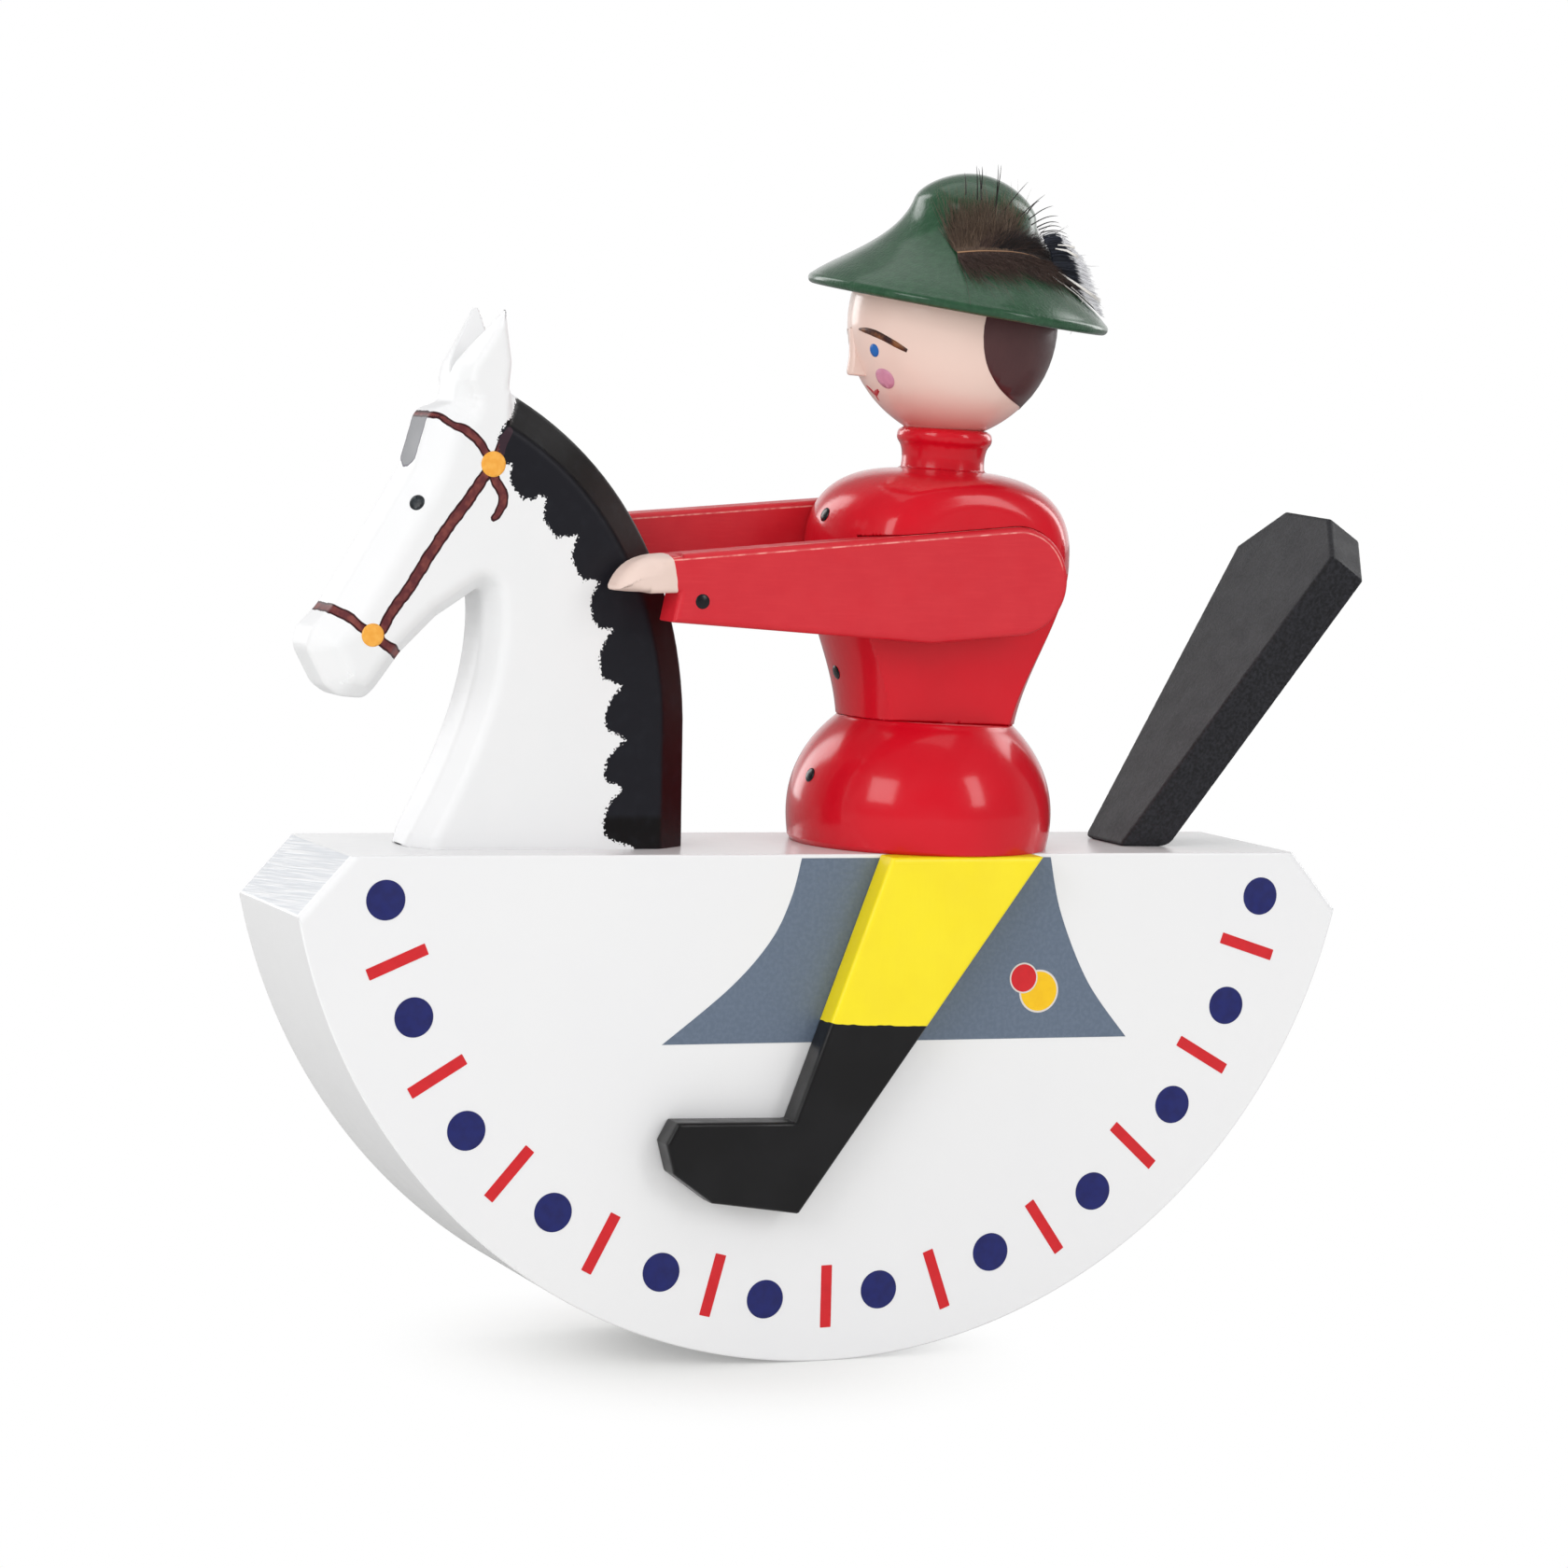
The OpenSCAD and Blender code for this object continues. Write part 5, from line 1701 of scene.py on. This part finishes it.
@dataclass
class Head:
    """The turned head with its nose and painted face."""

    radius: float = 16.7
    foot_r: float = 6.3
    mid: float = 17.0
    face_turn: float = -8.0
    stroke_r: float = 15.5

    def profile(self) -> Points:
        """Radius and height, from the foot's middle to the top's middle."""
        r, m = self.radius, self.mid
        side = bezier([(self.foot_r, 0), (0.66 * r + 0.8, 0.17 * m), (r, 0.5 * m), (r, m)], 60)
        crown = bezier([(r, m), (r, m + 3.0), (r - 0.6, m + 5), (r - 1.6, m + 6.2)], 8)
        foot, top = [(0, -0.5), (self.foot_r - 0.3, -0.5)], [(r - 1.6, m + 6.2), (0, m + 6.2)]
        return np.concatenate([foot, side, crown, top])

    def spot(self, uv: Points) -> tuple[Points, Points]:
        """Places degrees from the front towards the left, and heights, on the head.

        Args:
            uv: rows of angle in degrees and height.

        Returns:
            The surface's points and outward directions.
        """
        a, z = np.radians(uv[:, 0]), uv[:, 1]
        below, r, above = (np.interp(z + step, self._profile[:, 1], self._profile[:, 0]) for step in (-0.1, 0, 0.1))
        local = np.stack((-r * np.cos(a), -r * np.sin(a), z), 1)
        out = unit(np.stack((-np.cos(a), -np.sin(a), -(above - below) / 0.2), 1))
        return placed(local, STACK.head()), out @ np.array(STACK.head())[:3, :3].T

    def mirrored(self, outline: Points) -> Points:
        """The same outline on the other side of the face."""
        return np.stack((2 * self.face_turn - outline[:, 0], outline[:, 1]), 1)[::-1]

    def ellipse(self, angle: float, z: float, half_w: float, half_h: float) -> Points:
        """An oval spot whose half width and height are millimetres."""
        r = float(np.interp(z, self._profile[:, 1], self._profile[:, 0]))
        c = circle((0, 0), 1.0, 36)
        return np.stack((angle + np.degrees(c[:, 0] * half_w / r), z + c[:, 1] * half_h), 1)

    def stroke(self, points: Rows, widths: Sequence[float]) -> Points:
        """A brush stroke through points given as angle and height."""
        r = self.stroke_r
        flat = np.array([(math.radians(a) * r, z) for a, z in points])
        outline = ribbon(smooth_path(flat, 0.3), widths)
        return np.stack((np.degrees(outline[:, 0] / r), outline[:, 1]), 1)

    def build(self) -> None:
        """Builds the head, nose and painted face."""
        profile = self.profile()
        self._profile = profile[2 : 2 + 68]
        obj = smoothed(make_object("lacquered_head", *lathe(profile, 160), STACK.head()))
        local = placed(points_of(obj), STACK.head().inverted())
        # Redder towards the bottom of the head, rising to 0.85 at its foot.
        set_attribute(obj, "blush", np.clip((6.5 - local[:, 2]) / 6.5, 0, 1) ** 1.6 * 0.85)
        dress(obj, SKIN, ["head"])
        self.nose()
        brow_line = [(3.0, 14.2), (12.3, 13.95), (21.6, 13.35), (30.2, 12.46), (40.2, 11.25)]
        brow = self.stroke(brow_line, (0.2, 0.9, 1.1, 1.0, 0.95, 0.55))
        eye = self.ellipse(16.6, 11.0, 1.02, 1.0)
        cheek = self.ellipse(20.0, 6.8, 1.95, 1.5)
        features: list = []
        for name, outline, finish, spacing in (
            ("brow", brow, BROW, 0.6),
            ("eye", eye, IRIS, 0.5),
            ("cheek", cheek, CHEEK, 0.6),
        ):
            features.append((f"{name}_left", outline, finish, spacing))
            features.append((f"{name}_right", self.mirrored(outline), finish, spacing))
        lips = [
            self.stroke([(-12.0, 5.6), (-8.4, 5.27), (-5.6, 4.84), (-2.6, 4.4)], (0.2, 0.6, 0.85, 0.7)),
            self.stroke([(7.0, 4.98), (2.5, 4.68), (-2.8, 4.35)], (0.4, 0.65, 0.65)),
            self.stroke([(-2.7, 4.6), (-3.6, 4.0), (-4.8, 3.45)], (0.7, 0.55, 0.25)),
        ]
        features += [(f"lips_{i}", outline, LIPS, 0.5) for i, outline in enumerate(lips)]
        for name, outline, finish, spacing in features:
            dress(smoothed(film(name, outline, self.spot, spacing, 0.04)), finish)
        edge = [(83.6, 18.6), (82.2, 16.1), (83.5, 12.85), (89, 9.66), (100.8, 7.0), (118, 5.4), (140, 4.6), (172, 4.1)]
        far = [(344 - a, z) for a, z in edge[::-1]]
        hair = np.concatenate([smooth_path(edge + far[1:], 2.0), [(far[-1][0], 22.0), (edge[0][0], 22.0)]])
        dress(smoothed(film("hair", hair, self.spot, 1.6, 0.07)), HAIR)

    def nose(self) -> None:
        """Builds the small wedge of a nose."""
        at = STACK.head() @ turned(180 + self.face_turn, "Z") @ moved(self.radius - 4.0, 0, 7.5)
        levels = [(-0.5, 3.7, 1.85), (0.1, 3.85, 1.9), (2.4, 3.75, 1.6), (4.6, 3.9, 1.2)]
        levels += [(6.2, 4.1, 0.95), (7.0, 4.15, 0.8)]
        across = np.linspace(-1, 1, 9)
        rows = []
        for z, front, half in levels:
            for a in across:
                bulge = 0.35 + 0.65 * math.sqrt(max(0.0, 1 - abs(a) ** 2.4))
                rows.append((1.0 + (front - 1.0) * bulge if abs(a) < 1 else 1.0, half * a, z))
        n, last = len(across), len(rows) - len(across)
        faces: list = [tuple(range(n)), tuple(range(last + n - 1, last - 1, -1))]
        for k in range(0, last, n):
            faces += [(k + i, k + i + 1, k + n + i + 1, k + n + i) for i in range(n - 1)]
            faces.append((k + n - 1, k, k + n, k + 2 * n - 1))
        obj = make_object("carved_nose", np.array(rows), faces, at)
        bevelled(obj, 0.25, 3, limit_method="ANGLE", angle_limit=math.radians(35))
        dress(obj, SKIN, ["nose"])


@dataclass
class Hat:
    """The turned bell of a hat."""

    brim_r: float = 24.2
    brim_t: float = 1.8
    height: float = 20.6
    seat: float = 3.1
    recess: float = 17.7

    def outer(self) -> Points:
        """The outer skin's radius and height, from the brim's rim to the top."""
        r, h = self.brim_r, self.height
        waist = (0.405 * r, 0.74 * h)
        slope = bezier([(r - 0.6, self.brim_t / 2), (0.825 * r, 0.215 * h), (0.463 * r, 0.405 * h), waist], 44)
        return np.concatenate([slope, bezier([waist, (0.383 * r, 0.842 * h), (0.2 * r, h), (0, h)], 26), [(0, h)]])

    def solid(self) -> Points:
        """The hat's outer solid as a closed profile."""
        return np.concatenate([[(0, -self.brim_t / 2), (self.brim_r - 0.9, -self.brim_t / 2)], self.outer()])

    def build(self) -> None:
        """Builds the hat with its rolled rim and the recess for the head."""
        rim = self.brim_t / 2
        a = np.linspace(-math.pi / 2, math.pi / 2 - 0.5, 12)
        roll = np.stack((self.brim_r - rim + rim * np.cos(a), rim * np.sin(a)), 1)
        r, z = self.recess, self.seat
        inside = [(0, z), (r - 0.5, z), (r, z - 0.5), (r, -rim + 0.4), (r + 0.4, -rim)]
        profile = np.concatenate([inside, roll, self.outer()[1:]])
        obj = smoothed(make_object("lacquered_hat", *lathe(profile, 192), STACK.hat()))
        dress(obj, GREEN, ["hat"])


@dataclass(frozen=True)
class Tuft:
    """Barbs that fan out of a stretch of the shaft, with directions in degrees from +X towards +Z at both its ends."""

    name: str
    count: int
    span: Pair
    start: Pair
    end: Pair
    length: Pair
    thickness: float
    finish: Finish
    spread: float = 9.0
    lift: float = 1.2


@dataclass
class Feather:
    """The hackle feather that lies round the hat's left side."""

    shaft: Rows = (
        (15.7, -13.6, 173.3), (18.5, -14.2, 173.8), (22.3, -14.4, 174.0),
        (26.6, -13.9, 174.0), (30.5, -13.0, 173.5), (33.2, -12.2, 172.1),
    )  # fmt: skip
    steps: int = 9
    tufts: tuple[Tuft, ...] = (
        Tuft("upper_fluff", 1100, (0.0, 0.46), (108, 76), (94, 82), (4.6, 14.5), 0.12, FLUFF, spread=8, lift=1.5),
        Tuft("back_fluff", 700, (0.2, 0.8), (88, 40), (52, 14), (3.0, 7.5), 0.13, BROWN_BARB, spread=12, lift=1.3),
        Tuft("dark_sweep", 700, (0.3, 0.9), (70, 30), (34, 4), (4.0, 8.0), 0.14, DARK_BARB, spread=8, lift=1.7),
        Tuft("fan_barbs", 18, (0.66, 0.97), (66, 8), (40, 2), (8.6, 9.6), 0.2, DARK_BARB, spread=1.5),
        Tuft("lower_fluff", 1200, (0.0, 0.95), (-56, -38), (-36, -28), (3.6, 11.2), 0.13, BROWN_BARB, lift=1.5),
        Tuft("lower_barbs", 110, (0.45, 1.0), (-54, -36), (-34, -30), (7.0, 11.5), 0.15, DARK_BARB, spread=4),
    )
    clumps: int = 36
    hairs: Rows = (
        (17.5, 182.8, 18.3, 186.3), (19.5, 182.1, 20.3, 187.5), (20.2, 182.1, 20.7, 187.1), (20.1, 183.8, 21.3, 187.4),
        (22.7, 180.1, 24.1, 187.9), (22.7, 181.0, 24.6, 187.9), (23.5, 179.7, 29.4, 185.5), (25.7, 178.6, 32.5, 183.7),
        (28.2, 180.4, 31.6, 182.7), (28.6, 179.5, 34.0, 182.0), (29.1, 178.7, 34.9, 180.5), (30.1, 178.4, 35.2, 179.4),
        (30.4, 178.0, 35.7, 178.7), (30.8, 177.6, 36.7, 177.7), (31.2, 177.0, 36.9, 177.1), (31.5, 176.5, 37.5, 176.4),
    )  # fmt: skip
    vane_root: Rows = (
        (31.2, 177.2), (31.6, 176.2), (32.7, 174.7), (33.2, 172.5), (33.2, 170.3), (33.6, 168.1), (35.4, 166.2),
    )  # fmt: skip
    vane_edge: Rows = (
        (36.0, 176.9), (37.0, 175.7), (39.2, 173.9), (40.8, 171.8), (42.0, 168.5), (42.7, 166.2), (43.2, 164.9),
    )  # fmt: skip
    streaks: tuple[tuple[Sequence[float], Sequence[float], float], ...] = (
        ((33.6, 37.2, 41.3), (171.6, 169.7, 167.4), 0.3),
        ((35.6, 38.0, 39.9), (169.0, 167.4, 166.2), 0.12),
        ((33.3, 34.9, 36.3), (175.8, 175.8, 175.5), 0.14),
        ((32.9, 34.9, 37.0), (175.2, 175.0, 174.1), 0.22),
        ((29.5, 33.5, 36.7), (169.2, 166.7, 164.9), 0.06),
    )

    def guides(self, tuft: Tuft, rng: np.random.Generator, path: Points) -> Points:
        """Grows guide lines out of the shaft that hug the hat, with directions as seen from the front left.

        Args:
            tuft: the tuft.
            rng: the seeded random source.
            path: the shaft's points.

        Returns:
            For each barb, its points.
        """
        n, clumps, (near, far) = tuft.count, self.clumps, tuft.span
        share = (np.arange(n) + rng.random(n)) / n
        index = (near + (far - near) * (share + rng.normal(0, 0.04, n))) * (len(path) - 1)
        p = np.stack([np.interp(index, np.arange(len(path)), path[:, k]) for k in range(3)], 1)
        clump = np.clip(clumps * share + rng.normal(0, 0.5, n), 0, clumps - 1).astype(int)
        wobble = rng.normal(0, 0.7 * tuft.spread, clumps)[clump] + rng.normal(0, 1.1 * tuft.spread, n)
        first = tuft.start[0] + (tuft.start[1] - tuft.start[0]) * share + wobble
        last = tuft.end[0] + (tuft.end[1] - tuft.end[0]) * share + wobble + rng.normal(0, tuft.spread, n)
        short, long = tuft.length
        length = rng.triangular(short, max(short, 0.5 * long), long, n) * rng.uniform(0.6, 1.05, clumps)[clump]
        lift = rng.uniform(0.25, tuft.lift, n)
        right, above, ahead = (np.array(v) for v in (Stage.right, Stage.above, Stage.ahead))
        rows = [p]
        for i in range(self.steps - 1):
            k = (i + 1) / (self.steps - 1)
            gap = self._hat.distance(p)
            g = gradient(self._hat.distance, p, gap)
            g /= np.maximum(np.linalg.norm(g, axis=1), 1e-6)[:, None]
            a = np.radians(first * (1 - k) + last * k)[:, None]
            d = np.cos(a) * right + np.sin(a) * above
            deeper = np.clip((d * g).sum(1) / np.maximum(-(g @ ahead), 0.2), -2.2, 1.1)
            p = p + (length / (self.steps - 1))[:, None] * (d + deeper[:, None] * ahead)
            gap = self._hat.distance(p)
            away = np.clip(0.3 + (lift - 0.3) * k - gap, -0.2, 3.0)
            p = p + np.where(gap > lift + 1.2, 0.0, away)[:, None] * g
            rows.append(p)
        return np.stack(rows, 1)

    def clear_of_hat(self, lines: Points, level: float) -> Points:
        """Moves the points of lines that are too close to the hat out to a level above it."""
        p = lines.reshape(-1, 3)
        out = settled(self._hat.distance, p, level, steps=4)
        return np.where((self._hat.distance(p) < level)[:, None], out, p).reshape(lines.shape)

    def long_hairs(self) -> Points:
        """The single dark hairs that stand out over the crown and the back."""
        data = np.array(self.hairs)
        t = np.linspace(0, 1, self.steps)[None, :]
        x = data[:, 0, None] + (data[:, 2] - data[:, 0])[:, None] * (t + 0.05 * np.sin(math.pi * t))
        z = data[:, 1, None] + (data[:, 3] - data[:, 1])[:, None] * t + 0.5 * np.sin(math.pi * t)
        y = np.broadcast_to(-9.5 - 2.5 * (1 - t), x.shape)
        return self.clear_of_hat(np.stack((x, y, z), -1), 0.5)

    def vane(self, rng: np.random.Generator, count: int, spread: float) -> Points:
        """Lays the vane's barbs side by side from its root to its outer edge.

        Args:
            rng: the seeded random source.
            count: how many barbs.
            spread: how unevenly they end.

        Returns:
            For each barb, its points.
        """
        s, knots = np.linspace(0.0, 1.0, count) ** 0.6, np.linspace(0, 1, len(self.vane_root))
        ends = (np.array(rows) for rows in (self.vane_root, self.vane_edge))
        a, b = (np.stack([np.interp(s, knots, rows[:, c]) for c in (0, 1)], 1) for rows in ends)
        d = b - a
        b = b - d * np.abs(rng.normal(0, spread, (count, 1)))
        normal = unit(np.stack((-d[:, 1], d[:, 0]), 1))
        t = np.linspace(0, 1, self.steps)[None, :, None]
        bow = 0.8 * (1 - s[:, None, None]) * np.sin(math.pi * t) * normal[:, None]
        line = a[:, None] * (1 - t) + b[:, None] * t + bow
        y = -12.0 + rng.normal(0, 0.15, (count, 1)) + 0.9 * t[..., 0]
        return np.stack((line[..., 0], np.broadcast_to(y, line.shape[:2]), line[..., 1]), -1)

    def white_streaks(self) -> Points:
        """The bundles of white barbs that lie over the vane."""
        t = np.linspace(0, 1, self.steps)
        rows = []
        for x, z, width in self.streaks:
            flat = [np.interp(t, (0, 0.5, 1), ends) for ends in (x, z)]
            for shift in np.linspace(-width, width, 5):
                rows.append(np.stack((flat[0], np.full(len(t), -13.2), flat[1] + shift * t), 1))
        return self.clear_of_hat(np.array(rows), 0.6)

    def build(self, strands: Strands) -> None:
        """Builds the shaft, the tufts, the hairs and the striped vane."""
        rng = np.random.default_rng(SEED)
        self._hat = TurnedField(Hat().solid(), STACK.hat())
        path = settled(self._hat.distance, smooth_path(self.shaft, 0.3), 0.55, steps=4)
        root = strands.make("feather_root", path[None], np.zeros(1), ROOT, 0.38, 0.5, 0.0)
        dress(root, ROOT, ["feather_quill"])
        pieces = [(t.name, self.guides(t, rng, path), t.finish, t.thickness, 0.8, 0.5) for t in self.tufts]
        pieces.append(("hairs", self.long_hairs(), DARK_BARB, 0.26, 0.55, 0.2))
        dark = self.clear_of_hat(self.vane(rng, 260, 0.1), 0.35)
        pieces.append(("vane_barbs", dark, VANE, 0.2, 0.3, 0.15))
        pieces.append(("white_barbs", self.white_streaks(), SHAFT, 0.24, 0.3, 0.05))
        for i, (name, lines, finish, *size) in enumerate(pieces):
            piece = strands.make(f"feather_{name}", lines, rng.random(len(lines)), finish, *size)
            dress(piece, finish, ["feather_down", "feather_vane"] if i == 0 else [])


# --- dowels and stage


def dress_dowels() -> None:
    """Gives the hidden dowels, which stay as CAD nodes, a bare beech finish."""
    for name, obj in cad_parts.items():
        if name.endswith("_dowel"):
            obj.data.materials.clear()
            obj.data.materials.append(material(BEECH))
            log.info("%s: bare beech", name)


@dataclass
class Stage:
    """Floor, lights and camera."""

    eye: tuple[float, float, float] = (-275.0, -626.99, 149.79)
    ahead: tuple[float, float, float] = (0.3952, 0.9144, -0.0881)
    right: tuple[float, float, float] = (0.9186, -0.3931, 0.0409)
    above: tuple[float, float, float] = (-0.0028, 0.0971, 0.9953)
    focal_px: float = 4646.1
    picture_px: int = 1680
    sensor: float = 36.0
    floor_half: float = 12.0
    # Each span of world directions, and the light that glossy paint mirrors over it.
    side_wall: tuple[float, ...] = (0.0, 0.4, 0.1, 0.35)
    back_wall: tuple[float, ...] = (0.78, 0.92, 0.0, 0.65)
    strip_depth: tuple[float, ...] = (0.2, 0.32, 0.0, 3.4)
    strip_inner: tuple[float, ...] = (0.52, 0.62)
    strip_outer: tuple[float, ...] = (0.82, 0.76)
    strip_height: tuple[float, ...] = (0.74, 0.6)
    soft_light: float = 0.78
    # Each soft box's name, place and size in metres, watts, and whether glossy paint mirrors it.
    aim: tuple[float, float, float] = (0, 0, 0.09)
    boxes: tuple[tuple[str, Sequence[float], Pair, float, bool], ...] = (
        ("key", (-1.02, -0.63, 0.62), (0.54, 0.54), 3.3, True),
        ("fill", (0.6, -1.04, 0.62), (0.28, 0.62), 2.1, True),
        ("top", (0.1, 0.2, 1.5), (1.2, 1.2), 3.2, True),
        ("left", (-1.3, 0.0, 0.16), (0.5, 0.6), 2.8, False),
        ("low", (-0.35, -1.2, 0.14), (0.8, 0.3), 1.5, False),
    )

    def camera(self) -> None:
        """Sets the camera that was solved from the rocker's arc and printed dots."""
        data = bpy.data.cameras.new("Camera")
        data.sensor_fit = "HORIZONTAL"
        data.sensor_width = self.sensor
        data.lens = self.focal_px / self.picture_px * self.sensor
        data.clip_start, data.clip_end = 0.01, 50.0
        obj = linked("Camera", data)
        axes = [Vector(self.right).normalized(), Vector(self.above).normalized(), -Vector(self.ahead).normalized()]
        obj.matrix_world = Matrix.Translation(Vector(self.eye) * MM) @ Matrix(axes).transposed().to_4x4()
        bpy.context.scene.camera = obj

    def seen(self, tree: Tree) -> tuple[Socket, Socket]:
        """1 for rays that the camera sees directly, and 1 for rays that glossy paint mirrors."""
        rays = add(tree, "ShaderNodeLightPath").outputs
        return maths(tree, "MAXIMUM", rays["Is Camera Ray"], rays["Is Transmission Ray"]), rays["Is Glossy Ray"]

    def floor(self) -> None:
        """Lays the pale floor, which fades to a white ground away from the toy but keeps its shadow."""
        s = self.floor_half / MM
        obj = raw_piece("floor", [(-s, -s, 0), (s, -s, 0), (s, s, 0), (-s, s, 0)], faces=[(0, 1, 2, 3)])
        ground = bpy.data.materials.new("White paper sweep")
        t = cleared(ground)
        paper = add(t, "ShaderNodeBsdfDiffuse", {"Color": linear("eeeeec")})
        glow, mirrored = (
            add(t, "ShaderNodeEmission", {"Color": linear("ffffff"), "Strength": power}) for power in (1.0, 0.35)
        )
        where = add(t, "ShaderNodeTexCoord").outputs["Object"]
        shade = {0: where, 1: (-0.016, -0.004, 0.0)}
        from_shade = add(t, "ShaderNodeVectorMath", shade, operation="SUBTRACT").outputs[0]
        far = add(t, "ShaderNodeVectorMath", {0: from_shade}, operation="LENGTH").outputs["Value"]
        seen, glossy = self.seen(t)
        share = maths(t, "MULTIPLY", seen, ranged(t, far, 0.008, 0.055, 0.25, 1.0))
        mixed = add(t, "ShaderNodeMixShader", {0: share, 1: paper.outputs[0], 2: glow.outputs[0]})
        shown = add(t, "ShaderNodeMixShader", {0: glossy, 1: mixed.outputs[0], 2: mirrored.outputs[0]})
        add(t, "ShaderNodeOutputMaterial", {"Surface": shown.outputs[0]})
        obj.data.materials.append(ground)

    def world(self) -> None:
        """A soft white light all round, which glossy paint mirrors as bright screens behind and a dim room in front."""
        world = bpy.data.worlds.new("Studio")
        bpy.context.scene.world = world
        t = cleared(world)
        direction = add(t, "ShaderNodeTexCoord").outputs["Generated"]
        depth, across = (
            add(t, "ShaderNodeVectorMath", {0: direction, 1: axis}, operation="DOT_PRODUCT").outputs["Value"]
            for axis in (self.ahead, self.right)
        )
        height = add(t, "ShaderNodeSeparateXYZ", {0: direction}).outputs["Z"]
        wall = maths(t, "ADD", ranged(t, depth, *self.side_wall), ranged(t, depth, *self.back_wall))
        aside = maths(t, "ABSOLUTE", across)
        ends = maths(t, "MULTIPLY", ranged(t, aside, *self.strip_inner), ranged(t, aside, *self.strip_outer))
        strip = maths(t, "MULTIPLY", ranged(t, depth, *self.strip_depth), ends)
        wall = maths(t, "MULTIPLY_ADD", strip, ranged(t, height, *self.strip_height), wall)
        seen, glossy = self.seen(t)
        soft = add(t, "ShaderNodeMix", {0: glossy, 2: self.soft_light, 3: wall}, data_type="FLOAT").outputs[0]
        strength = add(t, "ShaderNodeMix", {0: seen, 2: soft, 3: 1.0}, data_type="FLOAT").outputs[0]
        light = add(t, "ShaderNodeBackground", {"Color": linear("ffffff"), "Strength": strength})
        add(t, "ShaderNodeOutputWorld", {"Surface": light.outputs[0]})

    def lights(self) -> None:
        """Hangs the soft boxes, all facing the toy."""
        for name, place, size, power, mirrored in self.boxes:
            data = bpy.data.lights.new(name, "AREA")
            data.shape, data.size, data.size_y, data.energy = "RECTANGLE", *size, power
            obj = linked(name, data)
            obj.visible_glossy = mirrored
            aim = Vector(self.aim) - Vector(place)
            obj.matrix_world = Matrix.Translation(place) @ aim.to_track_quat("-Z", "Y").to_matrix().to_4x4()

    def build(self) -> None:
        """Builds the stage."""
        self.camera()
        self.floor()
        self.world()
        self.lights()
        bpy.context.scene.view_settings.view_transform = "Standard"


def main() -> None:
    """Builds the toy's pieces in order."""
    logging.basicConfig(level=logging.INFO, format="%(message)s")
    Stage().build()
    marks = PrintedMarks("Printed marks", "Length", "Width", "Corner", "Film")
    drops = PaintDrops("Paint drops", "Diameter", "Rise")
    strands = Strands("Feather barbs", "Thickness", "Taper", "Waver")
    Rocker().build(marks)
    Horse().build()
    Tail().build()
    Trunk().build(drops)
    for side in Side:
        Arm(side).build(drops)
    for side in Side:
        Leg(side).build()
    Head().build()
    Hat().build()
    Feather().build(strands)
    dress_dowels()


if __name__ == "__main__":
    main()
